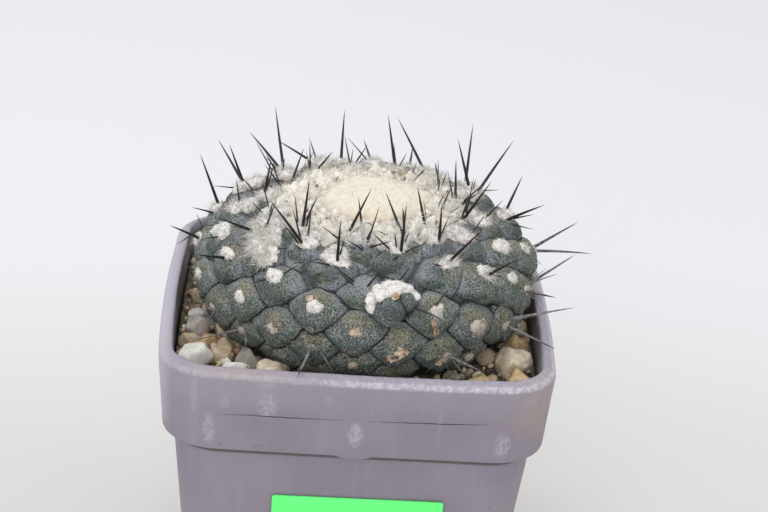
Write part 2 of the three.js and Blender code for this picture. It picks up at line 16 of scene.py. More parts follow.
import bmesh
import bpy
import numpy as np
from mathutils import Matrix, Vector
from mathutils.kdtree import KDTree
from mathutils.noise import noise


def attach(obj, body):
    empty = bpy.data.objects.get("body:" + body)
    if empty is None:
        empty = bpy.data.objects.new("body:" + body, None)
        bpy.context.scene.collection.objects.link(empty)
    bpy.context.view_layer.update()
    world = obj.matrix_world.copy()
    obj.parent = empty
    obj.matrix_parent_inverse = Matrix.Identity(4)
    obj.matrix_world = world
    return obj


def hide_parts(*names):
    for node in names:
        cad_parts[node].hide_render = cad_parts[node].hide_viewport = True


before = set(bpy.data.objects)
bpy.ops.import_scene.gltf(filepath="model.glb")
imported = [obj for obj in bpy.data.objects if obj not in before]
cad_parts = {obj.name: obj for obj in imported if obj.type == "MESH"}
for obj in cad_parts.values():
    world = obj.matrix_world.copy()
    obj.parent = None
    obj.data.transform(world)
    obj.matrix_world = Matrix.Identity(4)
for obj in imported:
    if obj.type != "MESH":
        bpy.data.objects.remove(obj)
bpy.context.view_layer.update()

log = logging.getLogger("potted_cactus")

MM = 0.001  # metres in a millimetre
TO_METRES = Matrix.Scale(MM, 4)
UP = Vector((0, 0, 1))
RIM = 55  # the height of the pot's rim
GRAVEL_DEPTH = 4.2  # how far the dressing and the soil lie below it
SOIL_DEPTH = 7.6

Colour = tuple[float, float, float, float]
Mesh = bpy.types.Mesh
Shape = bmesh.types.BMesh
Material = bpy.types.Material
Socket = bpy.types.NodeSocket
Source = Socket | float | Sequence[float]
Table = tuple[tuple[float, ...], ...]
Choice = TypeVar("Choice")


def display(red: int, green: int, blue: int) -> Colour:
    """A colour as a screen shows it, from 0 to 255, as the opaque linear colour that shaders take."""
    shares = [value / 255 for value in (red, green, blue)]
    linear = [s / 12.92 if s <= 0.04045 else ((s + 0.055) / 1.055) ** 2.4 for s in shares]
    return (*linear, 1.0)


def map_clamped(value: float, start: float, end: float, low: float, high: float) -> float:
    """A value's share of the way from start to end, held to that range, as a number from low to high."""
    share = min(1.0, max(0.0, (value - start) / (end - start)))
    return low + (high - low) * share


class Draw:
    """A repeatable source of random numbers, the same one that placed the solids."""

    WORD = 0xFFFFFFFF

    def __init__(self, seed: int) -> None:
        """Starts from a seed."""
        self.state = seed & self.WORD

    def share(self) -> float:
        """The next number from 0 to 1."""
        self.state = (self.state + 0x6D2B79F5) & self.WORD
        mixed = ((self.state ^ (self.state >> 15)) * (1 | self.state)) & self.WORD
        mixed = (mixed + (((mixed ^ (mixed >> 7)) * (61 | mixed)) & self.WORD)) & self.WORD ^ mixed
        return ((mixed ^ (mixed >> 14)) & self.WORD) / 4294967296

    def between(self, low: float, high: float) -> float:
        """The next number from low to high."""
        return low + (high - low) * self.share()

    def around(self) -> float:
        """The next angle round a whole turn."""
        return self.between(0, 2 * pi)

    def direction(self) -> Vector:
        """A unit vector that points anywhere."""
        height = self.between(-1, 1)
        turn = self.around()
        level = sqrt(1 - height * height)
        return Vector((level * cos(turn), level * sin(turn), height))

    def tumble(self) -> Matrix:
        """A rotation that leaves a small thing lying any way round."""
        return self.direction().rotation_difference(self.direction()).to_matrix().to_4x4()

    def one_of(self, choices: Sequence[Choice]) -> Choice:
        """One of several things, each as likely as the others."""
        return choices[int(self.share() * len(choices)) % len(choices)]


class Graph:
    """A material's node graph, with one short method for each kind of node that the finishes use.

    Patterns are laid out in millimetres of the object's own space.
    """

    def __init__(self, name: str) -> None:
        """Starts a material with a plain shader."""
        self.material = bpy.data.materials.new(name)
        self.material.use_nodes = True
        self.tree = self.material.node_tree
        self.shader = self.tree.nodes["Principled BSDF"]
        coordinates = self.node("TexCoord").outputs["Object"]
        self.place = self.node("Mapping", Vector=coordinates, Scale=(1 / MM,) * 3).outputs["Vector"]

    def feed(self, entry: Socket, source: Source) -> None:
        """Links a socket to its source, or sets it to a constant."""
        if isinstance(source, Socket):
            self.tree.links.new(source, entry)
        else:
            entry.default_value = source

    def fill(self, node: bpy.types.Node, entries: dict[str, Source]) -> bpy.types.Node:
        """Feeds a node's sockets by name, with _ for a space, and gives the node back."""
        for name, source in entries.items():
            self.feed(node.inputs[name.replace("_", " ")], source)
        return node

    def node(self, kind: str, **entries: Source) -> bpy.types.Node:
        """A new node of a kind, with its sockets fed by name."""
        return self.fill(self.tree.nodes.new("ShaderNode" + kind), entries)

    def stretched(self, scale: Sequence[float], offset: Sequence[float] = (0, 0, 0)) -> Socket:
        """The place in millimetres, moved by an offset and then scaled along each axis."""
        location = [-o * s for o, s in zip(offset, scale)]
        return self.node("Mapping", Vector=self.place, Scale=scale, Location=location).outputs["Vector"]

    def shifted(self, *offset: float) -> Socket:
        """The place in millimetres, moved by an offset."""
        return self.stretched((1, 1, 1), offset)

    def noise(self, scale: float, detail: float = 3, rough: float = 0.5, twist: float = 0,
              place: Socket | None = None) -> Socket:
        """Cloudy noise with a number of cells in each millimetre."""
        return self.node("TexNoise", Vector=place or self.place, Scale=scale, Detail=detail, Roughness=rough,
                         Distortion=twist).outputs[0]

    def cells(self, scale: float) -> Socket:
        """Distances in a pattern of cells."""
        return self.node("TexVoronoi", Vector=self.place, Scale=scale).outputs["Distance"]

    def reading(self, name: str) -> Socket:
        """A number that the mesh carries at its points."""
        node = self.node("Attribute")
        node.attribute_name = name
        return node.outputs["Fac"]

    def maths(self, operation: str, first: Source, second: Source) -> Socket:
        """One sum on two numbers, held from 0 to 1."""
        node = self.node("Math")
        node.operation, node.use_clamp = operation, True
        self.feed(node.inputs[0], first)
        self.feed(node.inputs[1], second)
        return node.outputs[0]

    def times(self, *sources: Source) -> Socket:
        """Several numbers multiplied in turn."""
        return reduce(lambda first, second: self.maths("MULTIPLY", first, second), sources)

    def plus(self, *sources: Source) -> Socket:
        """Several numbers added in turn."""
        return reduce(lambda first, second: self.maths("ADD", first, second), sources)

    def step(self, source: Source, start: float, end: float, low: float = 0, high: float = 1) -> Socket:
        """A smooth step from low to high as the source goes from start to end."""
        node = self.node("MapRange", Value=source, From_Min=start, From_Max=end, To_Min=low, To_Max=high)
        node.interpolation_type = "SMOOTHSTEP"
        return node.outputs[0]

    def blend(self, share: Source, under: Source, over: Source) -> Socket:
        """Two colours mixed by a share."""
        node = self.node("Mix")
        node.data_type = "RGBA"
        for entry, source in ((0, share), (6, under), (7, over)):
            self.feed(node.inputs[entry], source)
        return node.outputs[2]

    def part(self, axis: str) -> Socket:
        """The place along X, Y or Z, in millimetres."""
        return self.node("SeparateXYZ", Vector=self.place).outputs[axis]

    def spot(self, centre: Sequence[float], reach: Sequence[float], edge: float = 0.5) -> Socket:
        """A soft-edged ellipsoid: 1 in its middle and 0 outside its reach."""
        node = self.node("VectorMath")
        node.operation = "LENGTH"
        self.feed(node.inputs[0], self.stretched([1 / r for r in reach], centre))
        return self.step(node.outputs["Value"], edge, 1, 1, 0)

    def bump(self, height: Source, depth: float, strength: float = 1, under: Socket | None = None) -> Socket:
        """A surface roughened by a height, where 1 stands a depth in millimetres above 0."""
        below = {"Normal": under} if under else {}
        return self.node("Bump", Strength=strength, Distance=depth * MM, Height=height, **below).outputs[0]

    def finish(self, colour: Source, roughness: Source, normal: Socket | None = None,
               **constants: float | Sequence[float]) -> Material:
        """Ends the graph in its shader.

        Args:
            colour: The base colour.
            roughness: The roughness.
            normal: The roughened surface, if there is one.
            **constants: Other sockets by name, with _ for a space.

        Returns:
            The material.
        """
        self.fill(self.shader, {"Base_Color": colour, "Roughness": roughness, **constants})
        if normal:
            self.feed(self.shader.inputs["Normal"], normal)
        return self.material


@dataclass(frozen=True)
class PotPlastic:
    """Matt grey-mauve nursery plastic with lime, scratches and earth stains, with painted shade under the
    collar and on the inner wall and a painted highlight on the collar's left side.
    """

    mauve: Colour = display(142, 133, 147)
    pale: Colour = display(152, 143, 157)
    # lime: the lime tone, also used for the painted highlight on the collar's left side
    lime: Colour = display(196, 191, 204)
    crust: Colour = display(220, 214, 223)
    earth: Colour = display(166, 152, 144)
    # grime_and_shade: dark brown, for the grime specks and for the painted shade under the collar
    grime_and_shade: Colour = display(74, 64, 58)
    shade: Colour = display(138, 136, 141)
    band_foot: float = 42.1

    # Dried splashes of lime on the collar: x, z, half width, half height, strength
    splashes: Table = (
        (-13.1, 50.5, 1.6, 2.4, 0.7),
        (-19.4, 50.6, 0.9, 1.3, 0.45),
        (-21.7, 45.7, 1.0, 2.9, 0.8),
        (0.1, 46.0, 1.2, 2.3, 1.0),
        (22.0, 45.4, 1.4, 2.2, 0.85),
        (-13.6, 54.0, 1.6, 1.0, 0.5),
        (-24.0, 51.5, 0.6, 3.6, 0.45),
        (12.4, 48.5, 0.3, 4.5, 0.3),
        (-4.2, 52.0, 0.7, 0.9, 0.25),
    )

    # Earth stains: the centre, the reach along each axis, the strength
    stains: tuple[tuple[tuple[float, ...], tuple[float, ...], float], ...] = (
        ((28, -28, 51), (8, 9, 8), 0.95),
        ((-30, -20, 55), (2.6, 22, 5), 0.7),
        ((-18, -30, 55.4), (13, 3, 1.6), 0.75),
        ((29, 10, 50), (4, 22, 12), 0.5),
        ((27, -26, 20), (6, 8, 34), 0.3),
    )

    def make(self) -> Material:
        """The material."""
        g = Graph("pot_plastic")
        colour = g.blend(g.step(g.noise(0.07, 3), 0.35, 0.7, 0, 0.7), self.mauve, self.pale)
        streaks = g.noise(0.5, 4, 0.6, place=g.stretched((1, 1, 0.1)))
        colour = g.blend(g.step(streaks, 0.5, 0.75, 0, 0.07), colour, self.lime)
        colour = g.blend(g.step(g.noise(2.6, 2), 0.69, 0.76, 0, 0.3), colour, self.lime)
        dots = g.step(g.noise(1.7, 1, place=g.shifted(31, 7, 3)), 0.75, 0.77, 0, 0.3)
        colour = g.blend(dots, colour, self.grime_and_shade)

        height, across = g.part("Z"), g.part("X")
        torn = g.step(g.noise(2.0, 4, 0.75, 0.6, place=g.stretched((1, 1, 0.7))), 0.42, 0.58, 0.15, 1)
        lime = g.plus(*(
            g.times(g.spot((x, -30, z), (half_width * 1.2, 5, half_height * 1.2), 0.45), strength * 0.62)
            for x, z, half_width, half_height, strength in self.splashes
        ))
        colour = g.blend(g.times(lime, torn), colour, self.lime)
        cloud = g.step(g.noise(0.3, 4, 0.6), 0.35, 0.65, 0.5, 1)
        earth = g.plus(*(g.times(g.spot(centre, reach, 0.2), strength)
                         for centre, reach, strength in self.stains))
        colour = g.blend(g.times(earth, cloud), colour, self.earth)

        crumbs = g.step(g.noise(1.3, 5, 0.75), 0.42, 0.6)
        lip = g.step(height, RIM - 0.9, RIM - 0.4)
        edge = g.times(lip, g.step(height, RIM + 0.25, RIM - 0.1))
        chalked = g.times(g.plus(edge, g.times(lip, 0.3)), g.step(across, -12, 4, 0.35, 0.9))
        crusted = g.times(chalked, g.plus(0.3, g.times(crumbs, 0.6)))
        colour = g.blend(crusted, colour, self.crust)

        # Painted highlight: the collar's left side is lightened towards the lime tone, standing in for light
        # from the left
        painted_left_highlight = g.times(g.step(across, -27, -30), g.step(height, self.band_foot, 45, 0, 0.75))
        colour = g.blend(painted_left_highlight, colour, self.lime)
        colour = g.blend(g.step(height, 48, 53, 0, 0.14), colour, self.lime)
        # Painted shade with some grime: a dark line on the body just under the collar's lower edge, where the
        # collar shades it
        foot = g.times(g.step(height, self.band_foot - 1.5, self.band_foot - 1.1),
                       g.step(height, self.band_foot + 0.4, self.band_foot + 0.1), g.reading("body"), 0.75)
        colour = g.blend(foot, colour, self.grime_and_shade)
        inside = g.times(g.reading("inside"), g.step(g.noise(0.5, 4, 0.7), 0.3, 0.6, 0.2, 0.75))
        colour = g.blend(inside, colour, self.shade)

        grain = g.bump(g.noise(5.5, 2), 0.05, 0.5)
        waves = g.bump(g.noise(0.16, 2), 0.6, 0.2, grain)
        chalk = g.bump(g.plus(lime, crusted), 0.08, 0.5, waves)
        crust = g.bump(g.times(lip, g.noise(1.6, 4, 0.7)), 0.25, 0.8, chalk)
        roughness = g.step(g.noise(0.4, 3), 0.3, 0.7, 0.5, 0.62)
        return g.finish(colour, roughness, crust, Specular_IOR_Level=0.35)


@dataclass(frozen=True)
class LabelPaper:
    """Bright green sticker paper, blank, with a faint tooth, slightly worn edges and a painted glow that
    brightens it.
    """

    green: Colour = display(104, 250, 130)
    worn: Colour = display(150, 252, 165)

    def make(self) -> Material:
        """The material."""
        g = Graph("label_paper")
        fibres = g.noise(3.0, 4, 0.6)
        colour = g.blend(g.step(fibres, 0.35, 0.75, 0, 0.14), self.green, self.worn)
        # Painted glow: the emission makes the paper brighter than the lamps alone would
        return g.finish(colour, 0.55, g.bump(g.noise(7, 2), 0.02, 0.4), Specular_IOR_Level=0.3,
                        Emission_Color=self.green, Emission_Strength=0.16)


@dataclass(frozen=True)
class CactusSkin:
    """Thick grey-green skin, granular with fine pale wax and olive on the tips, with painted shade in the
    creases and under the chins.
    """

    slate: Colour = display(76, 86, 93)
    green: Colour = display(81, 96, 84)
    olive: Colour = display(126, 117, 86)
    brown: Colour = display(106, 94, 68)
    wax: Colour = display(192, 197, 194)
    haze: Colour = display(144, 147, 156)
    # crease: near black, for the dark pores and for the painted shade in the creases and under the chins
    crease: Colour = display(20, 22, 20)

    def make(self) -> Material:
        """The material."""
        g = Graph("cactus_skin")
        height, age, chin, crest = (g.reading(name) for name in ("height", "age", "chin", "crest"))
        base = g.blend(g.step(g.noise(0.25, 3), 0.38, 0.62), self.slate, self.green)
        base = g.blend(g.times(age, 0.6), base, self.green)
        tips = g.times(crest, g.step(g.noise(0.42, 4, 0.6), 0.35, 0.6, 0.25, 1))
        base = g.blend(tips, base, self.olive)
        patch = g.step(g.noise(0.5, 3, place=g.shifted(9, 4, 2)), 0.45, 0.6)
        base = g.blend(g.times(chin, patch, 0.5), base, self.brown)
        haze = g.times(g.step(height, 0.96, 0.66, 0, 0.75), g.step(age, 0.7, 0.35, 0.3, 1),
                       g.step(chin, 0.6, 0.1))
        base = g.blend(haze, base, self.haze)

        coarse = g.noise(1.9, 4, 0.75)
        fine = g.noise(4.2, 3, 0.75)
        bloom = g.step(g.noise(0.33, 2, place=g.shifted(3, 17, 8)), 0.3, 0.65, 0.45, 1)
        face = g.times(bloom, g.step(chin, 0, 1, 0.75, 0.4))
        speckle = g.plus(g.step(fine, 0.47, 0.6), g.step(coarse, 0.54, 0.7, 0, 0.5))
        colour = g.blend(g.times(speckle, face), base, self.wax)
        pores = g.step(g.noise(3.4, 3, 0.75, place=g.shifted(5, 5, 1)), 0.47, 0.37, 0, 0.9)
        colour = g.blend(pores, colour, self.crease)
        # Painted shade: darker towards each chin's lower end, where it curls under
        colour = g.blend(g.step(chin, 0.6, 1, 0, 0.28), colour, self.crease)
        # Painted shade in the creases and the deepest pits; worn sets how strong it is, stronger on older
        # pads and patchy by noise
        gap = g.maths("MAXIMUM", g.step(g.reading("crease"), 0.25, 0.8, 0, 0.92),
                      g.step(height, 0.5, 0.25, 0, 0.93))
        worn = g.times(g.step(age, 0.15, 0.6, 0.4, 1), g.step(g.noise(0.4, 2), 0.35, 0.55, 0.6, 1))
        colour = g.blend(g.times(gap, worn), colour, self.crease)
        rough = g.bump(g.plus(g.times(coarse, 0.5), g.times(fine, 0.7)), 0.26, 1)
        dents = g.bump(g.noise(0.9, 3, 0.6), 0.5, 0.6, rough)
        return g.finish(colour, g.step(coarse, 0.3, 0.7, 0.58, 0.8), dents, Specular_IOR_Level=0.35)


@dataclass(frozen=True)
class SpineHorn:
    """Hard spines: black when young, grey with age, with dark tips and a few chalky feet."""

    black: Colour = display(27, 23, 24)
    brown: Colour = display(58, 46, 42)
    grey: Colour = display(152, 150, 150)
    ash: Colour = display(84, 82, 84)
    chalk: Colour = display(212, 210, 212)

    def make(self) -> Material:
        """The material."""
        g = Graph("spine_horn")
        along, age, chalk = g.reading("along"), g.reading("age"), g.reading("chalk")
        rings = g.noise(2.2, 3, 0.6)
        young = g.blend(g.step(along, 0, 0.35), self.brown, self.black)
        old = g.blend(g.step(rings, 0.35, 0.65), self.grey, self.ash)
        old = g.blend(g.step(along, 0.55, 1.0, 0, 0.85), old, self.black)
        colour = g.blend(age, young, old)
        foot = g.times(chalk, g.step(along, 0.62, 0.45), g.step(rings, 0.3, 0.45))
        colour = g.blend(foot, colour, self.chalk)
        return g.finish(colour, g.step(age, 0, 1, 0.38, 0.7), g.bump(rings, 0.03, 0.5))


@dataclass(frozen=True)
class Wool:
    """Fine plant wool with a painted glow from within, whose strands differ slightly in tone."""

    name: str
    light: Colour
    dark: Colour
    grain: float = 1.6  # clouds in each millimetre
    clouds: float = 0.35  # how far they go towards the dark tone
    glow: float = 0.12

    def make(self) -> Material:
        """The material."""
        g = Graph(self.name)
        colour = g.blend(g.reading("tint"), self.light, self.dark)
        cloud = g.step(g.noise(self.grain, 3, 0.6), 0.35, 0.75, 0, self.clouds)
        colour = g.blend(cloud, colour, self.dark)
        fuzz = g.bump(g.noise(6, 3, 0.7), 0.12, 0.6)
        # Painted glow: the emission brightens the wool though it is no lamp
        return g.finish(colour, 0.95, fuzz, Specular_IOR_Level=0.1, Sheen_Weight=0.25, Sheen_Roughness=0.6,
                        Emission_Color=self.light, Emission_Strength=self.glow)


@dataclass(frozen=True)
class StoneFace:
    """One kind of pebble, with veins and specks."""

    name: str
    base: Colour
    vein: Colour
    glow: float = 0.0  # how far light goes into it
    scale: float = 0.7  # clouds in each millimetre
    speck: Colour = display(96, 82, 66)
    dust: Colour = display(196, 186, 170)

    def make(self) -> Material:
        """The material."""
        g = Graph(self.name)
        colour = g.blend(g.step(g.noise(self.scale, 5, 0.6, 0.6), 0.35, 0.68), self.base, self.vein)
        colour = g.blend(g.step(g.noise(3.4, 3, 0.7), 0.6, 0.74, 0, 0.55), colour, self.speck)
        colour = g.blend(g.step(g.noise(1.3, 4, 0.7), 0.5, 0.72, 0, 0.3), colour, self.dust)
        pits = g.bump(g.noise(3.2, 4, 0.65), 0.12, 0.7)
        faces = g.bump(g.cells(0.75), 0.3, 0.35, pits)
        return g.finish(colour, g.step(g.noise(2, 2), 0.3, 0.7, 0.5, 0.75), faces,
                        Subsurface_Weight=self.glow, Subsurface_Radius=(MM,) * 3)


@dataclass(frozen=True)
class Grit:
    """Loose fine matter, such as grit or earth, in tones from the commonest to the rarest."""

    name: str
    tones: tuple[Colour, ...]
    scale: float = 1.4  # grains in each millimetre

    def make(self) -> Material:
        """The material."""
        g = Graph(self.name)
        colour: Source = self.tones[0]
        for k, tone in enumerate(self.tones[1:]):
            shifted = g.shifted(11 * k + 5, 7 * k, 3 * k)
            colour = g.blend(g.step(g.noise(self.scale, 3, 0.6, place=shifted), 0.5, 0.6), colour, tone)
        clods = g.bump(g.noise(self.scale * 1.4, 5, 0.7), 0.5, 0.8)
        return g.finish(colour, 0.95, clods, Specular_IOR_Level=0.15)


@dataclass(frozen=True)
class DriedPetal:
    """Withered flower parts and scars: thin, crumpled, straw to rust."""

    name: str
    straw: Colour
    rust: Colour

    def make(self) -> Material:
        """The material."""
        g = Graph(self.name)
        colour = g.blend(g.step(g.noise(1.1, 4, 0.65), 0.36, 0.64), self.straw, self.rust)
        creases = g.bump(g.noise(2.4, 4, 0.7, 0.8), 0.25, 0.8)
        return g.finish(colour, 0.85, creases, Specular_IOR_Level=0.2)


@dataclass(frozen=True)
class FloorPaper:
    """The pale, matt paper that the pot stands on, with painted shade that makes it darker and warmer towards
    the front.
    """

    white: Colour = display(233, 233, 235)
    warm_shade: Colour = display(219, 217, 213)

    def make(self) -> Material:
        """The material."""
        g = Graph("floor_paper")
        # Painted shade: the floor darkens and warms from 150 mm behind the pot's middle towards the front
        near = g.times(g.step(g.part("Y"), 150, 20), g.step(g.noise(0.012, 3), 0.3, 0.7, 0.85, 1))
        colour = g.blend(near, self.white, self.warm_shade)
        return g.finish(colour, 0.9, g.bump(g.noise(1.2, 3), 0.02, 0.3), Specular_IOR_Level=0.1)


def mesh_of(name: str, shape: Shape) -> Mesh:
    """Turns a bmesh into a mesh and frees it."""
    mesh = bpy.data.meshes.new(name)
    shape.to_mesh(mesh)
    shape.free()
    return mesh


def hang(name: str, data: bpy.types.ID) -> bpy.types.Object:
    """Makes an object from its data and links it into the scene."""
    made = bpy.data.objects.new(name, data)
    bpy.context.scene.collection.objects.link(made)
    return made


def write_readings(mesh: Mesh, readings: dict[str, np.ndarray]) -> None:
    """Stores a mesh's readings for its material, each with one number for each point."""
    for name, values in readings.items():
        attribute = mesh.attributes.new(name, "FLOAT", "POINT")
        attribute.data.foreach_set("value", np.asarray(values, np.float32))


def points_of(mesh: Mesh) -> np.ndarray:
    """A mesh's points, one row each."""
    points = np.zeros(len(mesh.vertices) * 3, np.float32)
    mesh.vertices.foreach_get("co", points)
    return points.reshape(-1, 3)


def deliver(name: str, shape: Shape | Mesh, finish: Material, stands_for: Iterable[str] = (),
            crease: float | None = None, readings: dict[str, np.ndarray] | None = None) -> None:
    """Makes a finished shape a piece of the object.

    Args:
        name: The piece's name.
        shape: The shape: a bmesh in millimetres, or a mesh that is in metres already.
        finish: Its material.
        stands_for: The solids that it replaces.
        crease: The angle in degrees past which an edge is shaded sharp, or None where none is.
        readings: What its material reads, if the mesh doesn't carry it yet.
    """
    mesh = shape
    if isinstance(shape, Shape):
        shape.transform(TO_METRES)
        mesh = mesh_of(name, shape)
    write_readings(mesh, readings or {})
    mesh.shade_smooth()
    if crease is not None:
        mesh.set_sharp_from_angle(angle=radians(crease))
    mesh.materials.clear()
    mesh.materials.append(finish)
    piece = hang(name, mesh)
    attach(piece, "root")
    for node in stands_for:
        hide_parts(node)
    mesh.calc_loop_triangles()
    log.info("%s: %d triangles", name, len(mesh.loop_triangles))


def fused(base: Shape, others: Sequence[Shape], operation: str) -> Mesh:
    """Joins or cuts closed shapes by one Boolean.

    Args:
        base: The shape that is kept, in millimetres.
        others: The shapes that are added to it or cut from it.
        operation: UNION or DIFFERENCE.

    Returns:
        The result, still in millimetres.
    """
    tools = bpy.data.collections.new("tools")
    bpy.context.scene.collection.children.link(tools)
    objects = [hang("tool", mesh_of("tool", base))]
    for shape in others:
        objects.append(bpy.data.objects.new("tool", mesh_of("tool", shape)))
        tools.objects.link(objects[-1])
    boolean = objects[0].modifiers.new("boolean", "BOOLEAN")
    boolean.operation = operation
    boolean.operand_type = "COLLECTION"
    boolean.collection = tools
    boolean.solver = "MANIFOLD"
    bpy.context.view_layer.update()
    evaluated = objects[0].evaluated_get(bpy.context.evaluated_depsgraph_get())
    result = bpy.data.meshes.new_from_object(evaluated)
    for tool in objects:
        mesh = tool.data
        bpy.data.objects.remove(tool)
        bpy.data.meshes.remove(mesh)
    bpy.data.collections.remove(tools)
    return result


def past_corner(x: float, y: float, straight: float) -> float:
    """How far a point is past the straight part of a round-cornered square's sides."""
    return hypot(max(0, abs(x) - straight), max(0, abs(y) - straight))


def face_outwards(shape: Shape) -> None:
    """Turns a shape's faces outwards."""
    bmesh.ops.recalc_face_normals(shape, faces=shape.faces)


def loft(shape: Shape, rings: Sequence[Sequence[Vector]]) -> None:
    """Extrudes a closed outline through a stack of rings with equal counts and fills both ends.

    Args:
        shape: The bmesh that it is added to.
        rings: The rings, each anticlockwise from above if the stack climbs outside a wall.
    """
    ring = bmesh.ops.create_circle(shape, segments=len(rings[0]), radius=1)["verts"]
    made = list(ring)
    for vert, point in zip(ring, rings[0]):
        vert.co = point
    ends = [list(ring)]
    for points in rings[1:]:
        edges = [shape.edges.get((ring[k - 1], ring[k])) for k in range(len(ring))]
        extruded = bmesh.ops.extrude_edge_only(shape, edges=edges)["geom"]
        fresh = {v for v in extruded if isinstance(v, bmesh.types.BMVert)}
        ring = [next(e.other_vert(v) for e in v.link_edges if e.other_vert(v) in fresh) for v in ring]
        made += ring
        for vert, point in zip(ring, points):
            vert.co = point
    ends.append(list(ring))
    for end in ends:
        shape.faces.new(end)
    faces = list({f for v in made for f in v.link_faces})
    bmesh.ops.recalc_face_normals(shape, faces=faces)


def triangles_of(shape: Shape) -> tuple[np.ndarray, np.ndarray]:
    """Frees a bmesh and gives its points, one row each, and the point numbers of its triangles."""
    bmesh.ops.triangulate(shape, faces=shape.faces)
    shape.verts.index_update()
    points = np.array([v.co for v in shape.verts])
    faces = np.array([[v.index for v in f.verts] for f in shape.faces])
    shape.free()
    return points, faces


def waves(at: Vector, *layers: tuple[float, float]) -> float:
    """Smooth noise at a place, in layers that are each given by their scale and their height."""
    total = 0.0
    for scale, height in layers:
        total += height * noise(at * scale)
    return total


class Bristle:
    """One straight bristle, made once and repeated along many curves in one mesh."""

    def __init__(self, sides: int, joints: int, taper: Callable[[np.ndarray], np.ndarray]) -> None:
        """Makes the bristle, one unit long and one unit thick.

        Args:
            sides: The number of its sides.
            joints: The number of rings between its foot and its tip.
            taper: Gives its thickness at each share of the way from foot to tip.
        """
        shape = bmesh.new()
        bmesh.ops.create_cone(shape, cap_ends=True, segments=sides, radius1=1, radius2=1, depth=1)
        upright = [e for e in shape.edges if abs(e.verts[0].co.z - e.verts[1].co.z) > 0.5]
        bmesh.ops.subdivide_edges(shape, edges=upright, cuts=joints, use_grid_fill=True)
        shape.transform(Matrix.Translation(UP / 2))
        top = [v for v in shape.verts if v.co.z > 0.999]
        bmesh.ops.pointmerge(shape, verts=top, merge_co=UP)
        self.points, self.faces = triangles_of(shape)
        self.taper = taper

    def grow(self, name: str, strands: "Strands") -> Mesh:
        """Repeats the bristle along curves.

        Args:
            name: The mesh's name.
            strands: The curves.

        Returns:
            The mesh, in metres, with the readings of the strands and how far along each point is.
        """
        rows = np.array(strands.rows)
        root, direction, bend = rows[:, 0:3], rows[:, 3:6], rows[:, 6:9]
        length, radius = rows[:, 9, None, None], rows[:, 10, None, None]
        direction /= np.linalg.norm(direction, axis=1)[:, None]
        helper = np.where(np.abs(direction[:, 2:3]) < 0.9, [[0.0, 0.0, 1.0]], [[1.0, 0.0, 0.0]])
        across = np.cross(helper, direction)
        across /= np.linalg.norm(across, axis=1)[:, None]
        second = np.cross(direction, across)
        along = self.points[None, :, 2:3]
        width = self.taper(along)
        at = root[:, None] + direction[:, None] * length * along + bend[:, None] * length * along**2
        at = at + across[:, None] * radius * width * self.points[None, :, 0:1]
        at = at + second[:, None] * radius * width * self.points[None, :, 1:2]
        count = len(root)
        faces = self.faces[None] + (np.arange(count) * len(self.points))[:, None, None]
        mesh = bpy.data.meshes.new(name)
        mesh.from_pydata(at.reshape(-1, 3) * MM, [], faces.reshape(-1, 3))
        readings = {key: np.repeat(values, len(self.points)) for key, values in strands.readings.items()}
        readings["along"] = np.tile(self.points[:, 2], count)
        write_readings(mesh, readings)
        return mesh


@dataclass
class Strands:
    """Curves that share one mesh: where each starts, how it runs and what its material reads."""

    rows: list[tuple[float, ...]] = field(default_factory=list)
    readings: dict[str, list[float]] = field(default_factory=dict)

    def add(self, root: Vector, direction: Vector, length: float, radius: float,
            bend: Vector | None = None, **readings: float) -> None:
        """Adds a strand.

        Args:
            root: Its foot.
            direction: The way that it leaves its foot.
            length: Its length.
            radius: Its thickness at the foot.
            bend: Where its tip is carried, in lengths.
            **readings: What its material reads.
        """
        self.rows.append((*root, *direction, *(bend or Vector()), length, radius))
        for key, value in readings.items():
            self.readings.setdefault(key, []).append(value)


def rough_ball(detail: int, seed: int, dents: float, size: float = 1.0) -> Shape:
    """A ball of unit radius pushed in and out by smooth noise.

    Args:
        detail: The icosphere's level.
        seed: Picks the stretch of noise.
        dents: How far the noise moves a point.
        size: The size of the noise's clouds.

    Returns:
        The bmesh.
    """
    shape = bmesh.new()
    bmesh.ops.create_icosphere(shape, subdivisions=detail, radius=1)
    shift = Vector((seed * 7.3, seed * 3.1, seed * 5.7))
    for vert in shape.verts:
        wave = noise(vert.co * 1.3 / size + shift) + 0.4 * noise(vert.co * 3.1 / size + shift)
        vert.co *= 1 + dents * wave
    return shape


class Stamp:
    """A small closed shape made once and repeated in one mesh, each time turned, sized and placed."""

    def __init__(self, shape: Shape) -> None:
        """Takes the shape over as triangles."""
        self.points, self.faces = triangles_of(shape)

    @staticmethod
    def press(name: str, marks: Sequence[tuple["Stamp", Matrix, float]]) -> Mesh:
        """Repeats stamps in one mesh.

        Args:
            name: The mesh's name.
            marks: Each mark's stamp, place and tint.

        Returns:
            The mesh, in metres.
        """
        points, faces, tints, start = [], [], [], 0
        for stamp, matrix, tint in marks:
            turn = np.array(matrix)
            points.append(stamp.points @ turn[:3, :3].T + turn[:3, 3])
            faces.append(stamp.faces + start)
            tints.append(np.full(len(stamp.points), tint))
            start += len(stamp.points)
        mesh = bpy.data.meshes.new(name)
        mesh.from_pydata(np.concatenate(points) * MM, [], np.concatenate(faces))
        write_readings(mesh, {"tint": np.concatenate(tints)})
        return mesh


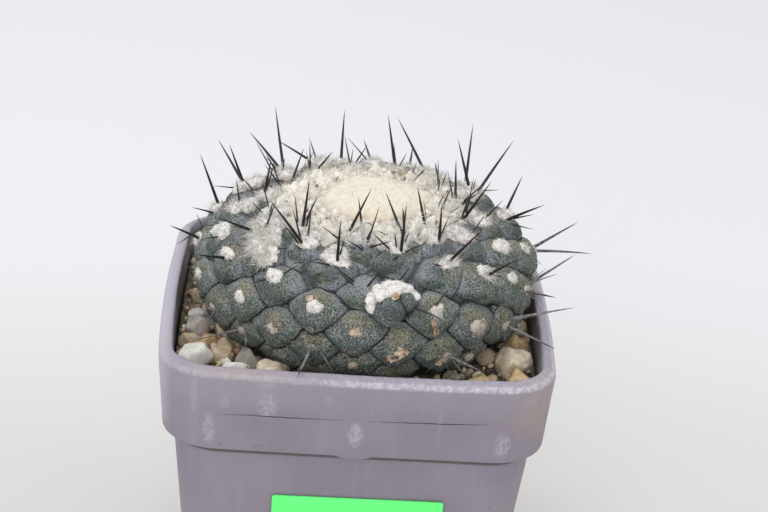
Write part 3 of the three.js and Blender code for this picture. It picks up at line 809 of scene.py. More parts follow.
@dataclass
class Pot:
    """The square nursery pot: a tapered body under a wide collar with a crusted lip."""

    height: float = RIM
    rim_half: float = 29.85
    rim_corner: float = 8.5
    rim_bow: float = 0.6
    band_height: float = 12.9
    band_foot_half: float = 29.05
    body_top_half: float = 27.4
    base_half: float = 23.2
    wall: float = 1.3
    lip: float = 2.2
    lip_slope: float = 1.0  # how far the lip rises from its outer to its inner edge
    lip_roll: float = 0.85  # how high the lip is rounded
    base_corner: float = 6.8  # the radius of the body's corners at its foot
    base_roll: float = 0.9  # how high its lower edge is rounded
    floor: float = 1.6
    drain_radius: float = 2.5
    drain_reach: float = 12
    tab_half_width: float = 2.5
    tab_drop: float = 0.5
    side_steps: int = 44
    corner_steps: int = 12

    # The crack in the collar's front: the ends of its two lengths along X, then its height at X = 0
    crack_left: tuple[float, float] = (-20.4, -1.4)
    crack_right: tuple[float, float] = (1.7, 19.9)
    crack_height: float = 48.65
    crack_slope: float = 0.012
    crack_depth: float = 0.55
    crack_gape: float = 0.085

    @property
    def band_foot(self) -> float:
        """The height of the collar's lower edge."""
        return self.height - self.band_height

    def body_half(self, z: float) -> float:
        """Half the body's outer width at a height, below the collar."""
        return self.base_half + (self.body_top_half - self.base_half) * z / self.band_foot

    def inside_half(self, z: float) -> float:
        """Half the inner width at a height."""
        if z < self.band_foot + 0.5:
            return self.body_half(min(z, self.band_foot)) - self.wall
        share = (z - self.band_foot) / self.band_height
        low, high = self.band_foot_half - self.wall, self.rim_half - self.lip
        return low + (high - low) * share

    def is_inside(self, x: float, y: float, z: float) -> bool:
        """Whether a point of the pot's surface is on its inner wall."""
        within = self.reach(x, y, self.inside_half(z)) < self.inside_half(z) + 0.75
        return within and self.floor * 2 < z < self.height - 0.5

    def reach(self, x: float, y: float, half: float) -> float:
        """How far out a point is, as half the width of the round-cornered square through it."""
        straight = half - self.rim_corner + self.wall
        return straight + past_corner(x, y, straight)

    def outline(self, half: float, corner: float, bow: float, z: float, sag: float = 0) -> list[Vector]:
        """One level of a square section with round corners and sides that bow outwards.

        Args:
            half: Half the width at the sides' ends.
            corner: The corners' radius.
            bow: How far each side bulges past its ends.
            z: The height.
            sag: How far the level drops at the tab in the middle of each side.

        Returns:
            The level's points, anticlockwise from above.
        """
        level = []
        for k in range(1, self.side_steps):
            share = 2 * k / self.side_steps - 1
            across = share * (half - corner)
            tab = sqrt(max(0.0, 1 - (across / self.tab_half_width) ** 2))
            level.append(Vector((across, -half - bow * (1 - share * share), z - sag * tab)))
        for k in range(self.corner_steps + 1):
            a = (k / self.corner_steps - 1) * pi / 2
            level.append(Vector((half - corner * (1 - cos(a)), -half + corner * (1 + sin(a)), z)))
        return [Matrix.Rotation(side * pi / 2, 3, "Z") @ p for side in range(4) for p in level]

    def wall_rings(self) -> list[list[Vector]]:
        """The pot's surface as a stack of levels, up the outside, over the lip and down the inside."""
        foot, tab = self.band_foot, self.tab_drop
        levels = []
        for k in range(4):
            a = k / 3 * pi / 2
            tuck = 1 - sin(a)
            z = self.base_roll * (1 - cos(a))
            levels.append((self.base_half - 0.8 * tuck, self.base_corner - 0.6 * tuck, 0, z))
        for k in range(1, 10):
            z = self.base_roll + (foot - self.base_roll) * k / 9
            levels.append((self.body_half(z), self.base_corner + 0.6 * k / 9, 0.1 * k / 9, z))
        levels += [
            (self.body_top_half + 0.5, 7.8, 0.1, foot + 0.02, tab),
            (self.band_foot_half - 0.45, 8.2, 0.2, foot, tab),
            (self.band_foot_half - 0.12, 8.35, 0.2, foot + 0.12, tab),
            (self.band_foot_half, 8.4, 0.2, foot + 0.45, tab * 0.9),
        ]
        for k in range(1, 11):
            share = k / 10
            half = self.band_foot_half + (self.rim_half - self.band_foot_half) * share
            bow = 0.2 + (self.rim_bow - 0.2) * share
            z = foot + 0.45 + (self.band_height - 1.45) * share
            levels.append((half, 8.4 + 0.1 * share, bow, z, tab * 0.3 * (1 - share) ** 4))
        half_lip = (self.lip - 0.1) / 2
        for k in range(1, 10):
            a = k / 10 * pi
            over = 1 - cos(a)
            inset = half_lip * over
            z = self.height - 1.0 + self.lip_roll * sin(a) ** 0.7 + self.lip_slope * over / 2
            levels.append((self.rim_half - inset, self.rim_corner - inset, self.rim_bow, z))
        for z, corner, bow in ((self.height - 1.2, 6.6, 0.6), (self.height - 6, 6.8, 0.4),
                               (foot + 1.6, 6.9, 0.2), (foot + 0.4, 6.1, 0.1), (foot * 0.6, 5.9, 0),
                               (self.floor + 0.9, 5.5, 0)):
            levels.append((self.inside_half(z), corner, bow, z))
        levels.append((self.inside_half(self.floor) - 0.8, 5, 0, self.floor))
        return [self.outline(*level) for level in levels]

    def crack(self, ends: tuple[float, float], seed: int) -> Shape:
        """A thin wavy blade in the shape of one length of the crack.

        Args:
            ends: Where it starts and ends along the front.
            seed: Picks the way that it wanders.

        Returns:
            The blade, closed.
        """
        shape = bmesh.new()
        bmesh.ops.create_cone(shape, cap_ends=True, segments=4, radius1=1, radius2=1, depth=1)
        shape.transform(Matrix.Rotation(pi / 2, 4, "Y"))
        lengthwise = [e for e in shape.edges if abs(e.verts[0].co.x - e.verts[1].co.x) > 0.5]
        bmesh.ops.subdivide_edges(shape, edges=lengthwise, cuts=36, use_grid_fill=True)
        start, end = ends
        front = -self.band_foot_half - 0.62
        for vert in shape.verts:
            share = vert.co.x + 0.5
            x = start + (end - start) * share
            gape = self.crack_gape * (0.25 + max(0.0, sin(pi * share)) ** 0.7)
            gape *= 1 + 0.5 * noise(Vector((x * 1.1, seed, 0)))
            wander = 0.16 * noise(Vector((x * 0.35, seed, 4)))
            wander += 0.05 * noise(Vector((x * 1.6, seed, 9)))
            z = self.crack_height + self.crack_slope * x + wander + vert.co.z * gape
            vert.co = Vector((x, front + vert.co.y * self.crack_depth, z))
        face_outwards(shape)
        return shape

    def build(self) -> None:
        """Makes the pot and delivers it."""
        shape = bmesh.new()
        loft(shape, self.wall_rings())
        for vert in shape.verts:
            crusted = map_clamped(vert.co.z, self.height - 1.5, self.height - 0.2, 0, 1)
            level = Vector((vert.co.x, vert.co.y, 0)).normalized()
            vert.co += level * 0.1 * noise(vert.co * 0.09)
            vert.co.z += crusted * 0.07 * noise(vert.co * 0.8)
            vert.co += level * crusted * 0.05 * noise(vert.co * 1.3)
        cutters = [self.crack(self.crack_left, 3), self.crack(self.crack_right, 8)]
        for x in (-self.drain_reach, self.drain_reach):
            for y in (-self.drain_reach, self.drain_reach):
                hole = bmesh.new()
                bmesh.ops.create_cone(hole, cap_ends=True, segments=36, radius1=self.drain_radius,
                                      radius2=self.drain_radius, depth=self.floor * 3)
                hole.transform(Matrix.Translation((x, y, self.floor / 2)))
                cutters.append(hole)
        mesh = fused(shape, cutters, "DIFFERENCE")
        points = points_of(mesh)
        inside = [self.is_inside(*point) for point in points]
        body = [self.reach(x, y, self.body_top_half) < self.body_top_half + 0.3 for x, y, _ in points]
        mesh.transform(TO_METRES)
        deliver("pot", mesh, PotPlastic().make(), ["pot"], crease=38,
                readings={"inside": np.array(inside), "body": np.array(body)})


@dataclass
class Label:
    """The blank paper sticker on the front wall."""

    pot: Pot
    width: float = 26
    height: float = 16
    thick: float = 0.14
    right: float = 1.3  # it sits a little right of the middle and not quite level
    tilt: float = radians(0.3)
    top: float = 33.7
    corner: float = 0.3
    off_wall: float = 0.06
    waviness: float = 0.05
    curl: float = 0.5  # how far its worn corner stands off

    def build(self) -> None:
        """Makes the label and delivers it."""
        pot = self.pot
        lean = atan2(pot.body_top_half - pot.base_half, pot.band_foot)
        middle = self.top - self.height / 2 * cos(lean)
        shape = bmesh.new()
        bmesh.ops.create_grid(shape, x_segments=52, y_segments=32, size=0.5)
        for vert in shape.verts:
            x, y = vert.co.x * self.width, vert.co.y * self.height
            over_x = max(0.0, abs(x) - self.width / 2 + self.corner)
            over_y = max(0.0, abs(y) - self.height / 2 + self.corner)
            over = hypot(over_x, over_y)
            if over > self.corner and over_x and over_y:
                x -= copysign(over_x * (1 - self.corner / over), x)
                y -= copysign(over_y * (1 - self.corner / over), y)
            lift = self.waviness * abs(noise(Vector((x * 0.2, y * 0.2, 5))))
            lift += self.curl * map_clamped(x - y, 16, 20.5, 0, 1) ** 2
            vert.co = Vector((x, -lift, y))
        face_outwards(shape)
        bmesh.ops.solidify(shape, geom=shape.faces[:], thickness=self.thick)
        front = pot.body_half(middle) + 0.1 + self.off_wall + self.thick
        place = Matrix.Translation((self.right, -front, middle))
        turn = Matrix.Rotation(lean, 4, "X") @ Matrix.Rotation(-self.tilt, 4, "Y")
        shape.transform(place @ turn)
        face_outwards(shape)
        deliver("label", shape, LabelPaper().make(), ["label"], crease=40)


@dataclass
class StemForm:
    """The stem's form: a profile over the tubercles' tips, and the spiral lattice that they stand in."""

    x: float = 0.8  # where its middle stands
    y: float = 1.8
    equator: float = 60  # the height of its widest level
    radius: float = 27
    crown_rise: float = 12  # from there up to the growing point, and down to the foot
    foot_drop: float = 16
    crown_power: float = 2.4  # the powers that fill out the profile above and below
    foot_power: float = 2.2
    root_tip: float = 26
    columns: int = 26  # the tubercles round one level
    rise_right: int = 11  # how far the number rises to the next tubercle down to the right, and to the left
    rise_left: int = 15
    first_number: int = -64
    last_number: int = 43
    first_even: int = 25  # from here on all tubercles are worn to one height
    front_turn: float = -3.5  # where tubercle 0 stands, in degrees right of the front
    zero_arc: float = 30.8  # how far down the profile it stands
    arc_step: float = 0.262
    tilt: float = 1.7  # how much higher the lattice stands on the right
    tubercle_height: float = 2.9
    samples: int = 600
    seed: int = 1000

    def __post_init__(self) -> None:
        """Samples the profile by its arc from the growing point."""
        self.arcs: list[float] = []
        self.radii: list[float] = []
        self.heights: list[float] = []
        for k in range(self.samples + 1):
            t = k / self.samples * pi
            upper = t <= pi / 2
            power = self.crown_power if upper else self.foot_power
            r = self.radius * abs(sin(t)) ** (2 / power)
            rise = self.crown_rise if upper else -self.foot_drop
            z = self.equator + rise * abs(cos(t)) ** (2 / power)
            step = hypot(r - self.radii[-1], z - self.heights[-1]) if k else 0
            self.arcs.append(self.arcs[-1] + step if k else 0)
            self.radii.append(r)
            self.heights.append(z)

    def profile(self, arc: float) -> tuple[float, float, float, float]:
        """The profile's radius and height at an arc, and its outward normal's level and upward shares."""
        after = max(1, min(self.samples, bisect_left(self.arcs, arc)))
        share = (arc - self.arcs[after - 1]) / (self.arcs[after] - self.arcs[after - 1])
        dr = self.radii[after] - self.radii[after - 1]
        dz = self.heights[after] - self.heights[after - 1]
        length = hypot(dr, dz)
        return (self.radii[after - 1] + dr * share, self.heights[after - 1] + dz * share,
                -dz / length, dr / length)

    def point(self, turn: float, arc: float, sunk: float) -> Vector:
        """A point at a turn round the stem and an arc, sunk below the profile."""
        r, z, level, rise = self.profile(arc)
        r -= level * sunk
        return Vector((self.x + r * sin(turn), self.y - r * cos(turn), z - rise * sunk))

    def arc_of(self, number: float, turn: float) -> float:
        """The arc down to a number in the lattice at a turn round the stem."""
        return self.zero_arc + self.arc_step * number - self.tilt * sin(turn)

    def crease_depth(self, number: float) -> float:
        """How deep the creases are: the oldest tubercles, low down, are worn and pressed flat."""
        return map_clamped(number, 16, 46, self.tubercle_height, 0.9)

    def tubercles(self) -> list["Tubercle"]:
        """Every tubercle, one for each number."""
        return [Tubercle(self, number) for number in range(self.first_number, self.last_number + 1)]


BUD_HOST = -15

# Wool beyond the areole itself, by tubercle: each tuft's millimetres right, uphill and out of the skin
MORE_WOOL = {
    BUD_HOST: (
        (-2.6, -2.3, 0.1), (-2.5, -1.0, 0.4), (-1.7, 0.1, 0.6), (-0.4, 0.6, 0.7), (0.9, 0.6, 0.7),
        (2.1, 0.2, 0.5), (2.8, -0.7, 0.3), (-1.4, -0.9, 1.2), (0.2, -0.4, 1.3),
    ),
    -44: ((1.0, -1.4, 0.2), (-1.2, 0.8, 0.1), (1.4, 1.2, 0.1)),
    -33: ((0.9, 1.4, 0.2), (1.7, -0.4, 0.1), (2.3, -1.7, 0.0), (-0.5, 2.5, 0.2)),
}

# The tubercle that its neighbours press in, with its rise in millimetres
SUNKEN = {-26: -1.0}

# Tips that stand aside of their place in the lattice: millimetres right and up
NUDGED = {
    -49: (1.6, -0.4),
    -48: (-0.6, -0.8),
    -41: (1.2, 0.8),
    -37: (1.1, 0),
    -34: (1.2, 1.6),
    -33: (-1, 0.6),
    -30: (3.9, 0.2),
    -26: (0.8, -0.6),
    -22: (-1.6, 0),
    -19: (3.7, -0.3),
    -18: (-0.5, 1.2),
    -15: (-1.1, 1.4),
    -8: (2.8, 0.3),
    -4: (-0.8, 0.9),
    3: (0.8, 0),
    22: (1.5, -0.5),
}


class Tubercle:
    """One tubercle in the lattice, with the frame that its areole stands in."""

    def __init__(self, form: StemForm, number: int) -> None:
        """Finds the place of the tubercle with a number, which rises with age."""
        self.form = form
        self.number = number
        right = (form.rise_right * number) % form.rise_left
        left = (number - form.rise_right * right) / form.rise_left
        self.turn = radians(form.front_turn + (right - left) * 360 / form.columns)
        self.arc = form.arc_of(number, self.turn)
        uneven = Draw(form.seed + number).between(-0.35, 0.3) if number < form.first_even else 0.0
        self.rise = SUNKEN.get(number, uneven)
        self.settle = map_clamped(number, -42, -64, 0, 1.6)
        lean = map_clamped(number, -50, 0, 1.3, -0.9) if number < 8 else map_clamped(number, 8, 18, -0.9, 0)
        aside, up = NUDGED.get(number, (0, 0))
        self.aside, self.uphill = aside, up + lean
        self.spread = 2 * pi * form.profile(self.arc)[0] / form.columns
        turn = self.turn + aside / form.profile(self.arc)[0]
        _, _, level, rise = form.profile(self.arc - self.uphill)
        self.out = Vector((level * sin(turn), -level * cos(turn), rise))
        self.side = Vector((cos(turn), sin(turn), 0))
        self.up = self.out.cross(self.side)
        self.axes = Matrix((self.side, self.up, self.out)).transposed()
        self.tip = form.point(turn, self.arc - self.uphill, self.settle - self.rise)

    def surface(self, right: float, up: float) -> Vector:
        """A point some millimetres right and uphill of the tip, carried round the stem's curve."""
        drop = 0.045 * (right * right + up * up)
        return self.tip + self.side * right + self.up * up - self.out * drop


@dataclass
class Stem:
    """The stem below its wool: overlapping pads on a solid core that ends in a root."""

    form: StemForm
    cuts: int = 29
    half_width: float = 0.87  # half a pad's width, in distances between columns
    below: float = 5.15  # from a pad's middle to the end of its chin
    above: float = 5.0
    gauge: float = 1.25  # the power that rounds a pad's diamond outline
    extra_depth: float = 0.7  # how far a pad's outline lies below the creases
    overhang: float = 0.5  # how far the chins bulge downhill
    lean: float = 0.12  # how far a pad's face rises towards its chin, in each millimetre
    follow: float = 0.6  # how far a pad's outline moves when its tip does
    crest: float = 0.5  # the fleshy ridge above the areole
    core_sunk: float = 2.2  # how far the core lies below the profile
    crease_reach: float = 0.42  # how far from a crease its line of painted shade ends
    block: int = 4000  # how many points are measured at a time
    seed: int = 2000

    def pad(self, tubercle: Tubercle) -> Shape:
        """One tubercle as a shingle with a full, pointed chin, closed by a cone into the core."""
        form, shape = self.form, bmesh.new()
        draw = Draw(self.seed + tubercle.number)
        width = self.half_width * draw.between(0.95, 1.06)
        below, above = self.below * draw.between(0.95, 1.06), self.above * draw.between(0.95, 1.05)
        depth = form.crease_depth(tubercle.number) + self.extra_depth
        tallest = depth + tubercle.rise - tubercle.settle
        step = 2 * pi / form.columns
        tilt = draw.between(-0.12, 0.12)
        crest = self.crest * draw.between(0.5, 1.3) if abs(tubercle.number + 6) < 32 else 0.0
        bmesh.ops.create_grid(shape, x_segments=self.cuts, y_segments=self.cuts, size=1)
        for vert in shape.verts:
            a, b = vert.co.x - vert.co.y, vert.co.x + vert.co.y
            length = hypot(a, b) or 1
            east, north = a / length, b / length
            downhill, uphill = max(0.0, -north), max(0.0, north)
            half_height = above if north > 0 else below
            outline = abs(east / width) ** self.gauge + abs(north / half_height) ** self.gauge
            outline **= 1 / self.gauge
            share = 1 - (1 - max(abs(vert.co.x), abs(vert.co.y))) ** 1.4
            right, up = share * east / outline, share * north / outline
            shoulder = 1 - (0.14 + 0.3 * uphill**2) * share**2
            full = shoulder * (1 - share ** (5 + 1.5 * downhill + uphill)) ** 0.5
            moved = self.follow + (1 - self.follow) * full
            turn = tubercle.turn + right * step + tubercle.aside / form.radius * moved
            climb = up + tubercle.uphill * moved - self.overhang * full * downhill * share
            arc = form.arc_of(tubercle.number, turn) - climb
            ridge = crest * exp(-((right * tubercle.spread / 2.4) ** 2) - ((up - 1.6) / 1.1) ** 2)
            sunk = depth - tallest * full + (tilt * share * east * 2 + self.lean * climb) * full - ridge
            wrinkle = waves(form.point(turn, arc, 0), (0.5, 0.4), (1.1, 0.16), (2.6, 0.03))
            vert.co = form.point(turn, arc, sunk - wrinkle * (0.4 + 0.6 * full))
        skirt = bmesh.ops.extrude_edge_only(shape, edges=[e for e in shape.edges if e.is_boundary])["geom"]
        loose = [v for v in skirt if isinstance(v, bmesh.types.BMVert)]
        heart = form.point(tubercle.turn, tubercle.arc, depth + 3.2)
        bmesh.ops.pointmerge(shape, verts=loose, merge_co=heart)
        face_outwards(shape)
        return shape

    def core(self) -> Shape:
        """The solid under the creases, from the sunken growing point to the root's tip."""
        form, shape = self.form, bmesh.new()
        outline = [Vector((form.x, form.y, form.root_tip))]
        last = form.arc_of(form.last_number, 0)
        for k in range(30):
            arc = last + (6 - last) * k / 29
            r, z, level, rise = form.profile(arc)
            sunk = map_clamped(k, 0, 8, 1.6, self.core_sunk)
            outline.append(Vector((form.x + r - level * sunk, form.y, z - rise * sunk)))
        outline.append(Vector((form.x, form.y, form.equator + form.crown_rise - 3.4)))
        verts = [shape.verts.new(p) for p in outline]
        edges = [shape.edges.new(pair) for pair in zip(verts, verts[1:])]
        bmesh.ops.spin(shape, geom=verts + edges, cent=(form.x, form.y, 0), axis=UP, dvec=(0, 0, 0),
                       angle=2 * pi, steps=72, use_merge=True, use_duplicate=False)
        bmesh.ops.remove_doubles(shape, verts=shape.verts, dist=1e-4)
        face_outwards(shape)
        return shape

    def readings(self, mesh: Mesh) -> dict[str, np.ndarray]:
        """Measures each point of the fused stem, in millimetres, against the profile and the tubercles.

        Returns:
            The height above the core, the nearness to a crease, to a chin and to the crest above an
            areole, and the age, each from 0 to 1.
        """
        form = self.form
        points = points_of(mesh)
        east, north = points[:, 0] - form.x, points[:, 1] - form.y
        level, turn = np.hypot(east, north), np.arctan2(east, -north)
        radii, heights, arcs = (np.array(values[::3]) for values in (form.radii, form.heights, form.arcs))
        nearest = np.empty(len(points), int)
        for start in range(0, len(points), self.block):
            block = slice(start, start + self.block)
            gap = (level[block, None] - radii) ** 2 + (points[block, 2:3] - heights) ** 2
            nearest[block] = gap.argmin(1)
        reach = np.hypot(radii, heights - form.equator)[nearest]
        inner = np.hypot(level, points[:, 2] - form.equator) < reach
        sunk = np.hypot(level - radii[nearest], points[:, 2] - heights[nearest]) * inner
        arc = arcs[nearest]
        best = np.full(len(points), 1e9)
        age, chin, crest = (np.zeros(len(points)) for _ in range(3))
        for tubercle in form.tubercles():
            swing = np.angle(np.exp(1j * (turn - tubercle.turn))) * level
            fall = arc - (tubercle.arc - tubercle.uphill)
            gap = swing**2 + fall**2
            near = gap < best
            best[near] = gap[near]
            age[near] = map_clamped(tubercle.number, -50, 35, 0, 1)
            chin[near] = np.clip((fall[near] - 0.8) / 2.5, 0, 1)
            crest[near] = np.clip(1.5 - np.hypot(swing[near] / 2.4, (fall[near] + 1.5) / 1.4), 0, 1)
        height = np.clip(1 - sunk / form.tubercle_height, 0, 1)
        return {"height": height, "age": age, "chin": chin, "crest": crest, "crease": self.creases(mesh)}

    def creases(self, mesh: Mesh) -> np.ndarray:
        """How near each point is to a crease, where pads meet at an inner angle, from 0 to 1 there."""
        shape = bmesh.new()
        shape.from_mesh(mesh)
        inner = [e for e in shape.edges if e.is_manifold and not e.is_convex and e.calc_face_angle() > 0.8]
        marked = {v for e in inner for v in e.verts}
        tree = KDTree(len(marked))
        for k, vert in enumerate(marked):
            tree.insert(vert.co, k)
        tree.balance()
        near = np.array([1 - tree.find(vert.co)[2] / self.crease_reach for vert in shape.verts])
        shape.free()
        return np.clip(near, 0, 1)

    def bud(self, right: float, up: float, size: float) -> Shape:
        """One lobe of the small offset at the front, some way right and uphill of its areole."""
        parent = Tubercle(self.form, BUD_HOST)
        shape = rough_ball(4, 5, 0.05, 0.8)
        shape.transform(Matrix.Diagonal((size, size, size * 0.9, 1)))
        for vert in shape.verts:
            around = atan2(vert.co.y, vert.co.x)
            vert.co *= 1 + 0.06 * cos(5 * around + 1) * (1 - abs(vert.co.z) / size)
        turn = UP.rotation_difference(parent.out).to_matrix().to_4x4()
        at = parent.tip + parent.side * right + parent.up * up
        shape.transform(Matrix.Translation(at) @ turn)
        return shape

    def build(self) -> None:
        """Makes the stem and delivers it."""
        pads = [self.pad(tubercle) for tubercle in self.form.tubercles()]
        buds = [self.bud(-0.5, -3.0, 2.3), self.bud(2.2, -1.6, 1.5)]
        mesh = fused(self.core(), [*pads, *buds], "UNION")
        readings = self.readings(mesh)
        mesh.transform(TO_METRES)
        deliver("stem", mesh, CactusSkin().make(), ["cactus"], crease=48, readings=readings)


# The long spines that show most: length, lean off the surface's normal and heading clockwise from
# uphill, in degrees
LONG_SPINES = {
    -63: [(9.5, 25, 57)],
    -60: [(9, 22, -59)],
    -58: [(7.5, 49, -7)],
    -56: [(8, 43, -19)],
    -52: [(9.5, 9, -65)],
    -51: [(8, 31, 35)],
    -49: [(9, 15, -169)],
    -48: [(10.5, 22, -113)],
    -44: [(9, 39, 176)],
    -41: [(9.5, 6, -18)],
    -37: [(9, 10, 21)],
    -35: [(11, 40, 63)],
    -32: [(11, 9, -19), (9, 22, 135)],
    -31: [(9, 38, 25), (10.5, 10, -166)],
    -30: [(9, 14, 124)],
    -28: [(9.5, 14, -15)],
    -27: [(8, 32, -133)],
    -25: [(10, 26, 16)],
    -20: [(10.5, 24, 31)],
    -19: [(7, 10, 120)],
    -18: [(5.5, 24, 157)],
    -15: [(4.5, 55, 41), (8, 78, 120)],
    -14: [(6.5, 26, 64)],
    -4: [(5, 34, 14)],
    -1: [(8.5, 17, 13), (9.5, 14, -135)],
    3: [(9.5, 40, 41), (7, 29, -75)],
    15: [(8, 5, 87)],
    18: [(11, 42, 55), (8.5, 24, 118)],
    22: [(7.8, 25, 51)],
}

# Young areoles that bear no long spine
QUIET = {-64, -61, -57, -55, -54, -47, -46, -42, -40, -38, -34, -33, -29, -26, -23, -22, -12}

# Short spines beside them, given the same way
SHORT_SPINES = {
    -52: [(5, 52, 112), (4.5, 60, -118)],
    -48: [(4.5, 33, 170)],
    -41: [(5, 46, -78), (4.6, 62, 84)],
    -37: [(4.5, 56, -123), (4, 75, -143)],
    -30: [(4.6, 52, -100)],
    -26: [(4.4, 58, -64), (4.2, 50, 48)],
    -22: [(3.5, 53, -146)],
    3: [(6, 26, 11)],
    15: [(5, 42, -150), (5, 52, 118), (4, 62, -70), (4.6, 58, 62)],
    19: [(7.5, 35, -85), (4.5, 48, 95)],
    22: [(5.3, 28, 128), (3.8, 76, -133)],
}


@dataclass
class Spines:
    """All spines of the plant, from the black ones at the crown to the grey stubs low down."""

    form: StemForm
    pot: Pot
    thick: float = 0.27
    slim: float = 0.17
    hair: float = 0.1
    rooted: float = 0.9  # how deep a spine's foot is sunk
    chalky: int = -52  # the areole whose long spine has a chalky foot
    straight_behind: tuple[int, ...] = (-50, -36, -21)  # spines at the back that don't lean down
    buried: float = 2.5  # areoles this far below the rim are under the gravel
    seed: int = 5000

    # How many thin grey spines the old areoles of the front bear
    radials: dict[int, int] = field(
        default_factory=lambda: {22: 5, 18: 4, 19: 4, 8: 3, 15: 4, 7: 2, 3: 2, -1: 2, -19: 1})

    def meets_rim(self, foot: Vector, direction: Vector, length: float) -> bool:
        """Whether a spine would run into the pot's rim rather than over it."""
        straight = self.pot.rim_half - self.pot.rim_corner
        along = 0.0
        while along < length + 1:
            at = foot + direction * along
            aside = past_corner(at.x, at.y, straight)
            if straight + aside > self.pot.rim_half - self.pot.lip - 0.8 and at.z < self.pot.height + 0.8:
                return True
            along += 0.5
        return False

    def add(self, strands: Strands, tubercle: Tubercle, draw: Draw, values: Sequence[float],
            radius: float) -> None:
        """Adds one spine to an areole.

        Args:
            strands: The spines so far.
            tubercle: Its tubercle.
            draw: The areole's random source.
            values: Its length, lean and heading.
            radius: Its thickness at the foot.
        """
        length, lean, heading = values
        lean, heading = radians(lean), radians(heading)
        direction = tubercle.out * cos(lean) + tubercle.up * sin(lean) * cos(heading)
        direction += tubercle.side * sin(lean) * sin(heading)
        foot = tubercle.tip - tubercle.out * self.rooted
        foot += tubercle.side * draw.between(-0.4, 0.4)
        foot += tubercle.up * draw.between(-0.4, 0.4)
        while self.meets_rim(foot, direction, length):
            direction.z += 0.05
            direction.normalize()
        number = tubercle.number
        age = map_clamped(number, -16, 8, 0, 1) * draw.between(0.8, 1)
        bow = UP.cross(direction) * draw.between(-0.05, 0.05) - UP * draw.between(0, 0.05)
        chalk = float(number == self.chalky and radius == self.thick)
        strands.add(foot, direction, length + self.rooted, radius, bow, age=age, chalk=chalk)

    def build(self) -> None:
        """Makes the spines and delivers them."""
        strands = Strands()
        for tubercle in self.form.tubercles():
            number = tubercle.number
            if tubercle.tip.z < self.pot.height - self.buried:
                continue
            draw = Draw(self.seed + 7 * number)
            young = number < -12
            long = LONG_SPINES.get(number, [])
            for values in long:
                self.add(strands, tubercle, draw, values, self.thick)
            behind = tubercle.out.y > 0.25
            if not long and number not in QUIET and (young or behind and draw.share() < 0.4):
                turned = 180 if behind and number not in self.straight_behind else 0
                length, lean = draw.between(7, 10), draw.between(5, 35) + turned / 6
                heading = turned + draw.between(-70, 70)
                self.add(strands, tubercle, draw, (length, lean, heading), self.thick)
            if young and draw.share() < 0.45:
                heading = (-1 if draw.share() < 0.5 else 1) * draw.between(60, 150)
                length, lean = draw.between(3.5, 6), draw.between(45, 70)
                self.add(strands, tubercle, draw, (length, lean, heading), self.slim)
            for _ in range(3 if number < -46 else 1 if number < -36 else 0):
                values = (draw.between(3.5, 7.2), draw.between(8, 48), draw.between(-180, 180))
                self.add(strands, tubercle, draw, values, self.slim * draw.between(0.8, 1.25))
            for values in SHORT_SPINES.get(number, []):
                self.add(strands, tubercle, draw, values, self.slim)
            self.add_radials(strands, tubercle, draw)
        bristle = Bristle(8, 7, lambda t: (1 - t**2.6) ** 0.8 * (1 - 0.35 * t) + 0.02)
        deliver("spines", bristle.grow("spines", strands), SpineHorn().make(), crease=60)

    def add_radials(self, strands: Strands, tubercle: Tubercle, draw: Draw) -> None:
        """Adds the thin grey spines that spread flat round an old areole."""
        number = tubercle.number
        count = self.radials.get(number, 3 if number > 8 and draw.share() < 0.45 else 0)
        start = draw.between(0, 360)
        for k in range(count):
            heading = start + 360 * k / count + draw.between(-25, 25)
            values = (draw.between(2.6, 5), draw.between(50, 78), heading)
            self.add(strands, tubercle, draw, values, self.hair)


@dataclass(frozen=True)
class Felt:
    """How one areole's wool looks, in millimetres."""

    half_width: float
    half_height: float
    locks: int  # the number of its loose locks
    length: float
    droop: float = 0.0  # how far they turn downhill
    lift: float = 0.0  # how far the wool stands uphill of the tip
    even: bool = False  # whether its knots are smooth rather than lumpy


# The wool of the areoles that show most
FELTS = {
    -52: Felt(1.5, 1.0, 140, 1.0, 0.0, 0.9),
    -49: Felt(1.7, 1.2, 170, 1.1, 0.3, 0.5),
    -48: Felt(1.9, 1.3, 230, 1.1, 0.3, 0.5),
    -45: Felt(1.6, 1.1, 170, 1.1, 0.2, 0.5),
    -44: Felt(2.4, 1.9, 420, 1.7, 1.3, 0.2),
    -41: Felt(1.5, 1.3, 240, 1.5, -0.9, 0.6),
    -37: Felt(2.6, 1.1, 330, 0.8, 0.0, 0.5),
    -33: Felt(2.3, 2.2, 460, 1.8, 1.5, -0.2),
    -30: Felt(2.3, 1.1, 280, 1.4, 0.8, 0.2),
    -22: Felt(1.5, 1.25, 260, 0.6, 0.4),
    -19: Felt(1.2, 1.3, 220, 1.6, 1.3, 0.1),
    -18: Felt(1.75, 1.0, 240, 0.7, 0.3, 0.3),
    -15: Felt(0.9, 0.7, 90, 0.6, 0.0, 0.2),
    -14: Felt(1.4, 1.1, 170, 1.1, 0.9),
    -11: Felt(1.3, 1.1, 210, 0.5, 0.4),
    -7: Felt(1.05, 1.1, 170, 0.55, 0.6),
    -4: Felt(1.1, 1.1, 170, 1.0, 1.1),
    -3: Felt(1.1, 0.8, 110, 0.6, 0.4),
    0: Felt(0.6, 0.5, 34, 0.4, 0.5),
    3: Felt(1.1, 0.9, 120, 0.8, 0.3),
    4: Felt(0.7, 1.0, 70, 0.5, 1.0),
    7: Felt(1.3, 1.5, 200, 0.9, 1.1),
    11: Felt(0.5, 0.4, 20, 0.5, 0.5),
    18: Felt(0.8, 0.7, 80, 0.8, 0.3),
    22: Felt(0.8, 0.6, 80, 0.8, 0.6),
    26: Felt(0.7, 0.5, 50, 0.6, 0.6),
}
BUD_WOOL = Felt(1.5, 1.15, 260, 0.45, 0.1, even=True)
SILK = Felt(1.5, 1.4, 220, 1.5, 1.0)


